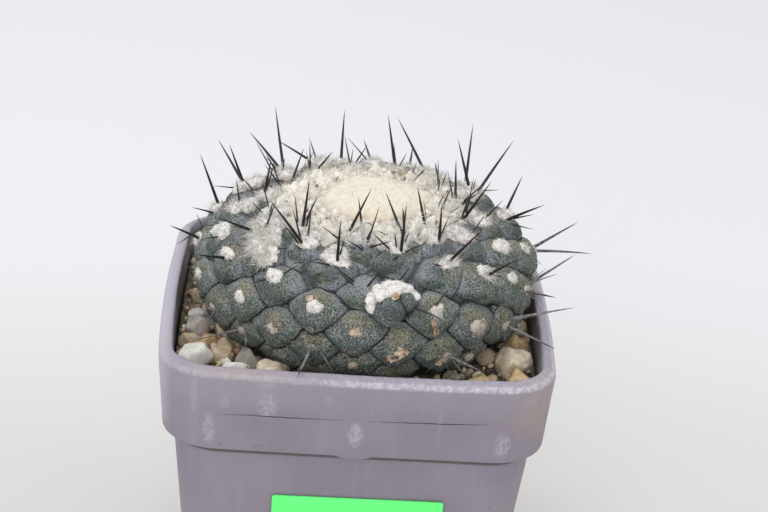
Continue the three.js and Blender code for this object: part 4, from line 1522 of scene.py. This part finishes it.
def deliver_hairs(name: str, strands: Strands, finish: Material) -> None:
    """Makes loose hairs of wool one piece."""
    bristle = Bristle(3, 1, lambda t: 1 - 0.7 * t)
    deliver(name, bristle.grow(name, strands), finish)


@dataclass
class Fleece:
    """Wool in the making: felted knots and the loose locks that stand out of them."""

    knots: list[tuple[Stamp, Matrix, float]] = field(default_factory=list)
    locks: Strands = field(default_factory=Strands)
    thick: float = 0.06
    kinds: int = 7

    def __post_init__(self) -> None:
        """Makes the shapes that the knots are stamped from."""
        self.lumpy = [Stamp(rough_ball(3, seed, 0.5, 0.5)) for seed in range(self.kinds)]
        self.smooth = Stamp(rough_ball(3, 5, 0.12, 1))

    def tuft(self, host: Tubercle, felt: Felt, draw: Draw, aside: float = 0.0, up: float = 0.0,
             proud: float = 0.0) -> None:
        """Adds one tuft: a few felted knots and the locks that stand out of them.

        Args:
            host: The tubercle that carries it.
            felt: Its size.
            draw: Its random source.
            aside: How far it stands right of the tip.
            up: How far it stands uphill of the tip.
            proud: How far it stands out of the skin.
        """
        turned = host.axes
        high = 0.36 * min(felt.half_width, felt.half_height) + 0.16
        age = map_clamped(host.number, -10, 12, 0.0, 0.8)
        middle = host.surface(aside, up + felt.lift) + host.out * proud
        for k in range(3):
            size = 0.86 if k == 0 else draw.between(0.45, 0.65)
            shift = 0.0 if k == 0 else 0.55
            right, rise = (shift * draw.between(-1, 1) * half for half in (felt.half_width, felt.half_height))
            at = middle + turned @ Vector((right, rise, high * 0.3 * shift))
            thick = high * (0.7 + 0.5 * size)
            wide = Matrix.Diagonal((felt.half_width * size, felt.half_height * size, thick, 1))
            spin = Matrix.Rotation(draw.between(-0.4, 0.4), 4, "Z")
            lumpy = draw.one_of(self.lumpy)
            stamp = self.smooth if felt.even else lumpy
            self.knots.append((stamp, Matrix.Translation(at) @ turned.to_4x4() @ spin @ wide, age))
        for _ in range(felt.locks):
            way, loose = draw.direction(), draw.direction()
            way.z = abs(way.z)
            inward = draw.between(0.35, 0.95)
            right, rise = way.x * felt.half_width * inward, way.y * felt.half_height * inward
            root = middle + turned @ Vector((right, rise, way.z * high * 0.9))
            heading = turned @ Vector((way.x, way.y, way.z * 0.8 + 0.15)) * 0.8 + loose * 0.95
            bend = loose.cross(heading) * 0.9 - host.up * 0.5 * felt.droop - host.out * 0.15
            long = felt.length * draw.between(0.3, 1.0) ** 1.3 * 1.25
            self.locks.add(root, heading, long, self.thick * draw.between(0.5, 1.3), bend,
                           tint=min(1, age + draw.between(0, 0.35)))

    def deliver(self, name: str, finish: Material) -> None:
        """Makes the knots one piece and the locks another."""
        deliver(name + "_felt", Stamp.press(name + "_felt", self.knots), finish)
        deliver_hairs(name + "_locks", self.locks, finish)


@dataclass
class Areoles:
    """The wool that each visible areole carries."""

    form: StemForm
    pot: Pot
    buried: float = 1.5  # areoles this far below the rim are under the gravel
    two_tufted: int = -33  # areoles younger than this have a second tuft uphill of their spines
    uphill: Felt = Felt(1.9, 1.7, 260, 1.5, -0.3)
    seed: int = 9000

    def felt_of(self, tubercle: Tubercle, draw: Draw) -> Felt:
        """A tubercle's wool, from the table or by its age."""
        number = tubercle.number
        if number in FELTS:
            return FELTS[number]
        if number > 4 and draw.share() < 0.55:
            return Felt(0.5, 0.4, 20, 0.5, 0.5)
        if number < -49:
            half_width, half_height = draw.between(1.2, 1.9), draw.between(1.0, 1.6)
            return Felt(half_width, half_height, 200, 1.3, draw.between(-0.2, 0.5), 0.5)
        half = map_clamped(number, -40, 12, 2.2, 0.75) * draw.between(0.8, 1.15)
        locks = round(map_clamped(number, -40, 12, 250, 70))
        length = map_clamped(number, -45, 0, 1.5, 0.75)
        return Felt(half, half * 0.75, locks, length, draw.between(0.1, 0.8), 0.2)

    def build(self) -> None:
        """Makes the wool and delivers it."""
        young, old = Fleece(), Fleece()
        for tubercle in self.form.tubercles():
            if tubercle.tip.z < self.pot.height - self.buried:
                continue
            fleece = young if tubercle.number < -36 else old
            draw = Draw(self.seed + tubercle.number)
            if tubercle.number not in SUNKEN:
                fleece.tuft(tubercle, self.felt_of(tubercle, draw), draw)
            if tubercle.number < self.two_tufted:
                fleece.tuft(tubercle, self.uphill, draw, draw.between(-0.6, 0.6), 1.9)
            more = BUD_WOOL if tubercle.number == BUD_HOST else SILK
            for right, up, proud in MORE_WOOL.get(tubercle.number, ()):
                fleece.tuft(tubercle, more, draw, right, up, proud)
        white = Wool("areole_wool", display(243, 240, 236), display(158, 146, 128), 2.4, 0.55, 0.06).make()
        young.deliver("young_areole", white)
        old.deliver("old_areole", white)


@dataclass
class Crown:
    """The wool over the growing point: a smooth cream cushion in a ragged white ring."""

    form: StemForm
    cushion_shift: float = 1.5  # the cushion stands a little right of the stem's middle
    cushion_radius: float = 9.7
    cushion_top: float = 18.0
    cushion_edge: float = 15.4
    ring_inner: float = 8.2
    ring_outer: float = 16.5
    ring_top: float = 16.6
    ring_shift: float = 0.5
    drawn_in: float = 1.5  # how far the ring's front is drawn in
    mound_depth: float = 2.6
    nap_thick: float = 0.026
    lock_thick: float = 0.065
    hairs: int = 9000  # on the cushion, and as many on the ring
    scraps: int = 80
    nap_seed: int = 41
    lock_seed: int = 43
    scrap_seed: int = 47

    def cushion_height(self, r: float, turn: float) -> float:
        """The cushion's surface above the pot's rim."""
        share = min(1.0, r / self.cushion_radius)
        east, north = cos(turn), sin(turn)
        wave = 0.3 * noise(Vector((r * 0.3 * east, r * 0.3 * north, 2)))
        wave += share**3 * 1.1 * noise(Vector((r * 0.45 * east, r * 0.45 * north, 9)))
        return self.cushion_top - (self.cushion_top - self.cushion_edge) * share**2.6 + wave

    def ring_height(self, r: float, turn: float) -> float:
        """The ring's surface above the pot's rim."""
        share = min(1.0, max(0.0, (r - self.ring_inner) / (self.ring_outer - self.ring_inner)))
        at = Vector((r * cos(turn), r * sin(turn), 0))
        wave = waves(at, (0.38, 1.3), (0.9, 1.7))
        swell = sin(pi * share) ** 0.5 if 0 < share < 1 else 0
        return self.ring_top - 1.2 - 2.6 * share**2 + (1.0 + wave) * swell

    def at(self, r: float, turn: float, height: float, shift: float = 0.0) -> Vector:
        """A point over the crown, at a height above the pot's rim."""
        front = max(0.0, -sin(turn)) ** 2
        r -= self.drawn_in * front * map_clamped(r, 11, self.ring_outer, 0, 1)
        x = self.form.x + shift + r * cos(turn)
        return Vector((x, self.form.y + r * sin(turn), RIM + height))

    def mound(self, inner: float, outer: float, surface: Callable[[float, float], float], rings: int,
              around: int, shift: float) -> Shape:
        """A closed disc or ring of wool with a modelled top.

        Args:
            inner: Its inner radius.
            outer: Its outer radius.
            surface: Its height above the pot's rim at a radius and turn.
            rings: The number of steps across it.
            around: The number of steps round it.
            shift: How far right of the stem's middle it stands.

        Returns:
            The bmesh.
        """
        shape = bmesh.new()
        turns = [k / around * 2 * pi for k in range(around)]
        levels = [(outer - 0.8, self.mound_depth)]
        levels += [(outer - (outer - inner) * k / rings, 0.0) for k in range(rings + 1)]
        is_ring = inner > 1
        if is_ring:
            levels.append((inner + 0.8, self.mound_depth))
        loft(shape, [[self.at(r, turn, surface(r, turn) - low, shift) for turn in turns]
                     for r, low in levels])
        if is_ring:
            caps = sorted(shape.faces, key=lambda f: -len(f.verts))[:2]
            rims = [e for f in caps for e in f.edges]
            bmesh.ops.delete(shape, geom=caps, context="FACES_ONLY")
            bmesh.ops.bridge_loops(shape, edges=rims)
            face_outwards(shape)
        return shape

    def warmth(self, x: float, y: float) -> float:
        """How peach the cushion is at a place: only along its front edge, right of the middle."""
        east, north = x - self.form.x - self.cushion_shift, y - self.form.y
        edge = map_clamped(hypot(east, north) / self.cushion_radius, 0.72, 1, 0, 0.85)
        return edge * map_clamped(east - 1.4 * north, 1, 12, 0.12, 1)

    def cushion(self) -> None:
        """Makes the cushion and its nap and delivers both."""
        shape = self.mound(0.1, self.cushion_radius, self.cushion_height, 34, 120, self.cushion_shift)
        for vert in shape.verts:
            vert.co.z += waves(vert.co, (1.2, 0.12), (3.1, 0.07))
        tint = np.array([self.warmth(vert.co.x, vert.co.y) for vert in shape.verts])
        cream = Wool("cushion_wool", display(237, 230, 213), display(222, 190, 152), 0.5, 0.14, 0.02).make()
        deliver("crown_cushion", shape, cream, crease=70, readings={"tint": tint})
        draw, strands = Draw(self.nap_seed), Strands()
        for _ in range(self.hairs):
            r = self.cushion_radius * sqrt(draw.share())
            turn = draw.around()
            root = self.at(r, turn, self.cushion_height(r, turn) - 0.12, self.cushion_shift)
            outward = Vector((cos(turn), sin(turn), 0))
            heading = UP * 0.7 + outward * 0.6 * r / self.cushion_radius + draw.direction() * 0.8
            tint = min(1, self.warmth(root.x, root.y) + draw.between(0, 0.12))
            length, bend = draw.between(0.2, 0.5), draw.direction() * 0.6
            strands.add(root, heading, length, self.nap_thick, bend, tint=tint)
        deliver_hairs("crown_nap", strands, cream)

    def ring(self) -> None:
        """Makes the ragged ring and its locks and delivers both."""
        shape = self.mound(self.ring_inner, self.ring_outer, self.ring_height, 30, 210, self.ring_shift)
        for vert in shape.verts:
            level = Vector((vert.co.x - self.form.x, vert.co.y - self.form.y, 0))
            ragged = waves(level, (0.5, 1), (1.3, 0.5))
            vert.co += level.normalized() * 1.5 * ragged * map_clamped(level.length, 13, 16, 0, 1)
            vert.co.z += waves(vert.co, (1.2, 0.45), (2.7, 0.22))
        white = Wool("crown_wool", display(244, 240, 231), display(186, 172, 150), 0.6, 0.35).make()
        deliver("crown_ring", shape, white, ["crown_wool"], crease=80)
        draw, strands = Draw(self.lock_seed), Strands()
        for _ in range(self.hairs):
            r = draw.between(self.ring_inner - 0.3, self.ring_outer - 0.6)
            turn = draw.around()
            root = self.at(r, turn, self.ring_height(r, turn) - 0.15, self.ring_shift)
            outward = Vector((cos(turn), sin(turn), 0))
            heading = UP * 0.7 + outward * 0.35 + draw.direction()
            length = draw.between(0.4, 1.3) * (1.7 if draw.share() < 0.12 else 1)
            radius = self.lock_thick * draw.between(0.5, 1.3)
            strands.add(root, heading, length, radius, draw.direction() * 0.9, tint=0.9 * draw.share() ** 2)
        deliver_hairs("crown_locks", strands, white)

    def chaff(self) -> None:
        """Makes the dry scraps that lie in the ring and delivers them."""
        draw, scrap, marks = Draw(self.scrap_seed), Stamp(rough_ball(2, 3, 0.5, 0.6)), []
        for _ in range(self.scraps):
            r, turn = draw.between(self.ring_inner + 0.5, self.ring_outer - 0.5), draw.around()
            lie = draw.tumble()
            length, width, thick = draw.between(0.1, 0.8), draw.between(0.08, 0.4), draw.between(0.06, 0.15)
            high = self.ring_height(r, turn) + draw.between(0, 0.5)
            place = Matrix.Translation(self.at(r, turn, high, self.ring_shift))
            marks.append((scrap, place @ lie @ Matrix.Diagonal((length, width, thick, 1)), 0.0))
        straw = DriedPetal("crown_chaff", display(198, 172, 140), display(112, 90, 70)).make()
        deliver("crown_chaff", Stamp.press("crown_chaff", marks), straw)

    def build(self) -> None:
        """Makes the whole crown."""
        self.cushion()
        self.ring()
        self.chaff()


class Stone(Enum):
    """The kinds of pebble in the pot."""

    QUARTZ = StoneFace("quartz_pebble", display(234, 232, 226), display(210, 210, 202), 0.1, 0.5)
    TAN = StoneFace("tan_pebble", display(202, 184, 154), display(162, 142, 112))
    SLATE = StoneFace("slate_pebble", display(178, 170, 162), display(144, 136, 130), 0.0, 0.5)
    CREAM = StoneFace("cream_pebble", display(228, 216, 194), display(188, 168, 140))
    RUST = StoneFace("rust_pebble", display(190, 152, 126), display(148, 110, 88), 0.0, 1.1)
    OCHRE = StoneFace("ochre_pebble", display(208, 180, 138), display(170, 138, 98), 0.0, 0.9)


Laid = tuple[float, float, float, Stone, Draw]


@dataclass
class Gravel:
    """The dressing: pebbles half sunk in finer grit."""

    form: StemForm
    pot: Pot
    pebbles: int = 62
    grains: int = 1500
    grain_kinds: int = 6
    stem_clearance: float = 22.5  # from the stem's middle to the nearest pebbles, and to the nearest grit
    grit_clearance: float = 23.2
    closeness: float = 0.85  # how near two pebbles may lie, in the sum of their half lengths
    tries: int = 6000  # how many places are tried, the first of them with larger pebbles
    large_tries: int = 500
    place_seed: int = 77
    kind_seed: int = 78
    extra_seed: int = 300
    grain_seed: int = 55

    # How common each kind of stone is
    bag: tuple[Stone, ...] = (Stone.TAN, Stone.TAN, Stone.CREAM, Stone.CREAM, Stone.QUARTZ, Stone.SLATE,
                              Stone.SLATE, Stone.OCHRE, Stone.RUST)

    # The larger stones in the front corners: X, Y, half their length and their kind
    corner_stones: tuple[tuple[float, float, float, Stone], ...] = (
        (-24.6, -18.2, 2.8, Stone.QUARTZ),
        (-20.6, -16.4, 2, Stone.TAN),
        (-18.4, -21.8, 2, Stone.QUARTZ),
        (-13.2, -22.6, 2.6, Stone.CREAM),
        (-24.6, -8.4, 2.4, Stone.SLATE),
        (-25.6, -12.6, 1.7, Stone.TAN),
        (23.6, -15.4, 3, Stone.CREAM),
        (24.6, -20.6, 2.4, Stone.OCHRE),
        (18.8, -22.8, 2, Stone.OCHRE),
        (13.2, -24, 1.6, Stone.QUARTZ),
    )
    extra_stones: tuple[tuple[float, float, float, Stone], ...] = (
        (-21.2, -21.9, 1.1, Stone.RUST),
    )

    # The strip of earth at the front where no larger stone lies: from X to X, and behind the wall to Y
    bare: tuple[float, float, float] = (-11, 20, -15)

    def layout(self) -> list[Laid]:
        """Lays the pebbles out, in the places that the solids have.

        Returns:
            Each pebble's X, Y, half length, kind and random source.
        """
        high = RIM - GRAVEL_DEPTH
        limit = self.pot.inside_half(high) - 0.4
        draw, kinds = Draw(self.place_seed), Draw(self.kind_seed)
        laid: list[Laid] = []
        for tries in range(self.tries):
            if len(laid) >= self.pebbles:
                break
            drawn = draw.between(1.5, 2.7) * (1 if tries < self.large_tries else 0.8)
            spread = limit - drawn
            if tries < len(self.corner_stones):
                x, y, size, kind = self.corner_stones[tries]
            else:
                x, y, size = draw.between(-spread, spread), draw.between(-spread, spread), drawn
                kind = kinds.one_of(self.bag)
                corner = past_corner(x, y, limit - 6)
                near = hypot(x - self.form.x, y - self.form.y) < self.stem_clearance + size * 0.5
                if near or corner + size > 6:
                    continue
                if any(hypot(x - p[0], y - p[1]) < self.closeness * (size + p[2]) for p in laid):
                    continue
            for _ in range(3 + (42 if size > 2.7 else 12)):
                draw.share()  # the solids draw this many numbers for a pebble's shape
            laid.append((x, y, size, kind, Draw(int(1000 * abs(x) + 77 * abs(y)))))
        return laid

    def pebble(self, size: float, draw: Draw) -> Shape:
        """One pebble at the origin: a rough ball with a few worn flats."""
        seed = int(draw.between(1, 90))
        shape = rough_ball(4, seed, 0.2, 1.0)
        for _ in range(13):
            facing, cut = draw.direction(), draw.between(0.62, 0.86)
            for vert in shape.verts:
                over = vert.co.dot(facing) - cut
                if over > 0:
                    vert.co -= facing * over * 0.92
        for vert in shape.verts:
            vert.co *= 1.12 + 0.035 * noise(vert.co * 4.5 + Vector((seed, 0, 0)))
        width, thick = size * draw.between(0.75, 1), size * draw.between(0.75, 1)
        shape.transform(Matrix.Diagonal((size, width, thick, 1)))
        spin = Matrix.Rotation(draw.between(0, pi), 4, "Z")
        tip = Matrix.Rotation(draw.between(-0.3, 0.3), 4, "X")
        shape.transform(spin @ tip)
        return shape

    def build(self) -> None:
        """Makes the pebbles, the grains and the bed and delivers them."""
        high = RIM - GRAVEL_DEPTH
        marks: dict[Stone, list] = {kind: [] for kind in Stone}
        placed = [(*stone, Draw(self.extra_seed + k)) for k, stone in enumerate(self.extra_stones)]
        left, right, back = self.bare
        named = {stone[:2] for stone in self.corner_stones}
        for x, y, size, kind, draw in [*self.layout(), *placed]:
            if left < x < right and y < back and (x, y) not in named:
                continue
            stamp = Stamp(self.pebble(size, draw))
            marks[kind].append((stamp, Matrix.Translation((x, y, high + size * 0.3)), 0.0))
        grains = [Stamp(rough_ball(2, seed, 0.35, 0.8)) for seed in range(self.grain_kinds)]
        draw = Draw(self.grain_seed)
        limit = self.pot.inside_half(high) - 0.6
        for _ in range(self.grains):
            x, y = draw.between(-limit, limit), draw.between(-limit, limit)
            size = draw.between(0.35, 0.95)
            corner = past_corner(x, y, limit - 5.5)
            if hypot(x - self.form.x, y - self.form.y) < self.grit_clearance or corner > 5.3:
                continue
            turn = draw.tumble()
            width = Matrix.Diagonal((size, size * draw.between(0.6, 1), size * draw.between(0.5, 0.9), 1))
            lift = high + draw.between(-0.2, 0.5) * size + 0.2
            kind, grain = draw.one_of(self.bag), draw.one_of(grains)
            marks[kind].append((grain, Matrix.Translation((x, y, lift)) @ turn @ width, 0.0))
        for kind, own in marks.items():
            name = kind.value.name + "s"
            deliver(name, Stamp.press(name, own), kind.value.make(), crease=55)
        self.bed()

    def bed(self) -> None:
        """Makes the grit between the pebbles and delivers it."""
        low = RIM - SOIL_DEPTH + 0.3
        high = RIM - GRAVEL_DEPTH
        shape = bmesh.new()
        rings = [self.pot.outline(self.pot.inside_half(low) - 0.3, 6, 0.1, low),
                 self.pot.outline(self.pot.inside_half(high) - 0.25, 6, 0.3, high)]
        inset = 0.0
        while inset < 11:
            inset += 0.5
            half = self.pot.inside_half(high) - 0.25 - inset
            rings.append(self.pot.outline(half, max(1.5, 6 - inset * 0.4), 0.2, high))
        loft(shape, rings)
        for vert in shape.verts:
            if vert.co.z > high - 0.01:
                vert.co.z += 0.35 * waves(vert.co, (0.6, 1), (1.7, 0.7)) - 0.25
        grit = Grit("gravel_bed", (display(106, 95, 80), display(70, 61, 52), display(152, 140, 120))).make()
        deliver("gravel_bed", shape, grit, ["gravel"])


@dataclass
class Soil:
    """The potting mix under the gravel, which shows through the drain holes."""

    pot: Pot

    def build(self) -> None:
        """Makes the soil and delivers it."""
        pot, low, high = self.pot, self.pot.floor + 0.3, RIM - SOIL_DEPTH
        rings = []
        inset = 15.0
        while inset > 1.3:
            rings.append(pot.outline(pot.inside_half(pot.floor) - inset, 5 * (1 - inset / 20), 0, low))
            inset -= 0.6
        rings.append(pot.outline(pot.inside_half(pot.floor) - 1.3, 5, 0, low))
        for k in range(1, 13):
            z = low + 1.2 + (high - low - 1.2) * k / 12
            rings.append(pot.outline(pot.inside_half(min(z, pot.band_foot)) - 0.35, 6, 0.1, z))
        shape = bmesh.new()
        loft(shape, rings)
        for vert in shape.verts:
            if vert.co.z < low + 0.1:
                vert.co.z += 0.3 + 0.5 * noise(vert.co * 0.9) + 0.25 * noise(vert.co * 2.3)
        earth = Grit("potting_soil", (display(52, 38, 30), display(34, 26, 22), display(92, 72, 54))).make()
        deliver("soil", shape, earth, ["soil"])


@dataclass
class Remnants:
    """Withered flower bits, scars and chaff caught on the plant."""

    form: StemForm

    # On a tubercle: its number, then right, uphill, out, half width, half height, tilt in degrees
    flakes: Table = (
        (0, 0.0, 0.1, 0.1, 0.9, 0.7, 10),
        (4, 0.1, -0.2, 0.1, 0.9, 0.7, 0),
        (-11, -0.9, 1.1, 0.0, 0.6, 0.5, 15),
        (-4, -0.5, -2.3, 0.2, 0.4, 1.2, 10),
        (11, -0.3, -1.3, 0.15, 1.5, 0.8, 20),
        (11, 0.7, -0.6, 0.15, 0.8, 0.7, -30),
        (7, 0.2, 0.2, 0.15, 1.2, 0.9, 30),
        (7, -0.5, -0.8, 0.15, 0.8, 0.7, -20),
        (-15, 0.2, -1.5, 1.9, 0.65, 0.5, 25),
        (-49, 0.2, 0.6, 0.3, 1.2, 0.9, 40),
        (-43, 0.4, -0.6, 0.6, 1.0, 0.7, 20),
        (-50, 1.2, -0.6, 0.6, 1.1, 0.8, -30),
        (-46, 1.4, 0.0, 0.5, 0.9, 0.6, 10),
        (-62, 0.6, 0.4, 0.15, 1.2, 0.9, 10),
        (26, 0.0, -0.2, 0.15, 0.7, 0.5, 0),
        (22, -0.8, -1.0, 0.15, 0.9, 0.6, 25),
    )

    def flake(self, half_width: float, half_height: float, seed: int) -> Shape:
        """A crumpled scrap at the origin, closed and paper thin."""
        shape = bmesh.new()
        bmesh.ops.create_grid(shape, x_segments=12, y_segments=9, size=1)
        for vert in shape.verts:
            x, y = vert.co.x, vert.co.y
            ragged = 1 + 0.35 * noise(Vector((x * 2.1, y * 2.1, seed)))
            crumple = 0.55 * noise(Vector((x * 1.3, y * 1.3, seed + 20)))
            crumple += 0.25 * noise(Vector((x * 3.3, y * 3.3, seed + 40)))
            right = x * sqrt(1 - 0.45 * y * y) * ragged * half_width
            up = y * sqrt(1 - 0.45 * x * x) * ragged * half_height
            vert.co = Vector((right, up, crumple * half_height + 0.25))
        bmesh.ops.solidify(shape, geom=shape.faces[:], thickness=0.12)
        face_outwards(shape)
        return shape

    def build(self) -> None:
        """Makes the flakes and delivers them."""
        marks = []
        for k, (number, right, up, out, half_width, half_height, tilt) in enumerate(self.flakes):
            host = Tubercle(self.form, number)
            turn = host.axes.to_4x4() @ Matrix.Rotation(radians(tilt), 4, "Z")
            at = Matrix.Translation(host.surface(right, up) + host.out * out)
            marks.append((Stamp(self.flake(half_width, half_height, 3 * k)), at @ turn, 0.0))
        petal = DriedPetal("dried_petal", display(222, 206, 182), display(158, 124, 98)).make()
        deliver("remnants", Stamp.press("remnants", marks), petal, crease=50)


@dataclass(frozen=True)
class Studio:
    """The pale floor, the soft light and the camera."""

    focal_length: float = 100
    sensor: float = 36
    distance: float = 336.2
    elevation: float = 24.0
    yaw: float = -2.9
    roll: float = 4.4
    target_x: float = 3.74
    target_height: float = 7.13  # above the pot's rim
    floor_reach: float = 1400
    aim: float = 60  # the height that the lamps face
    sky: Colour = (0.97, 0.98, 1.0, 1)
    sky_strength: float = 0.74

    def camera(self) -> None:
        """Sets the camera where the photograph was taken from."""
        elevation, yaw, roll = (radians(a) for a in (self.elevation, self.yaw, self.roll))
        back = Vector((sin(yaw) * cos(elevation), -cos(yaw) * cos(elevation),
                       sin(elevation)))
        right = UP.cross(back).normalized()
        up = back.cross(right)
        leaning = right * cos(roll) + up * sin(roll)
        upright = up * cos(roll) - right * sin(roll)
        target = Vector((self.target_x, 0, RIM + self.target_height))
        data = bpy.data.cameras.new("camera")
        data.lens, data.sensor_width = self.focal_length, self.sensor
        data.clip_start, data.clip_end = 0.01, 20
        eye = hang("camera", data)
        axes = Matrix((leaning, upright, back)).transposed().to_4x4()
        eye.matrix_world = Matrix.Translation((target + back * self.distance) * MM) @ axes
        bpy.context.scene.camera = eye

    def floor(self) -> None:
        """Lays the floor."""
        shape = bmesh.new()
        bmesh.ops.create_circle(shape, cap_ends=True, segments=96, radius=self.floor_reach * MM)
        mesh = mesh_of("floor", shape)
        mesh.materials.append(FloorPaper().make())
        floor = hang("floor", mesh)

    def lamp(self, name: str, at: Sequence[float], size: float, power: float,
             colour: Sequence[float]) -> None:
        """Hangs one soft lamp that faces the plant."""
        data = bpy.data.lights.new(name, "AREA")
        data.shape, data.size, data.energy, data.color = "DISK", size, power, colour
        lamp = hang(name, data)
        lamp.location = at
        lamp.rotation_euler = (Vector(at) - UP * self.aim * MM).to_track_quat("Z", "Y").to_euler()

    def light(self) -> None:
        """Lights the scene softly from above and a little from the left."""
        world = bpy.data.worlds.new("room")
        bpy.context.scene.world = world
        world.use_nodes = True
        sky = world.node_tree.nodes["Background"]
        sky.inputs["Color"].default_value = self.sky
        sky.inputs["Strength"].default_value = self.sky_strength
        self.lamp("front", (-0.25, -1.15, 0.62), 0.9, 4.2, (1.0, 0.99, 0.98))
        self.lamp("top", (-0.12, 0.1, 0.8), 0.5, 2.0, (0.98, 0.99, 1.0))
        bpy.context.scene.view_settings.view_transform = "Standard"

    def build(self) -> None:
        """Makes the floor and the lights."""
        self.floor()
        self.light()


def main() -> None:
    """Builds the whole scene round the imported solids."""
    logging.basicConfig(level=logging.INFO, format="%(message)s")
    studio, pot, form = Studio(), Pot(), StemForm()
    studio.camera()
    pot.build()
    Label(pot).build()
    Soil(pot).build()
    Gravel(form, pot).build()
    Stem(form).build()
    Spines(form, pot).build()
    Areoles(form, pot).build()
    Crown(form).build()
    Remnants(form).build()
    studio.build()


if __name__ == "__main__":
    main()
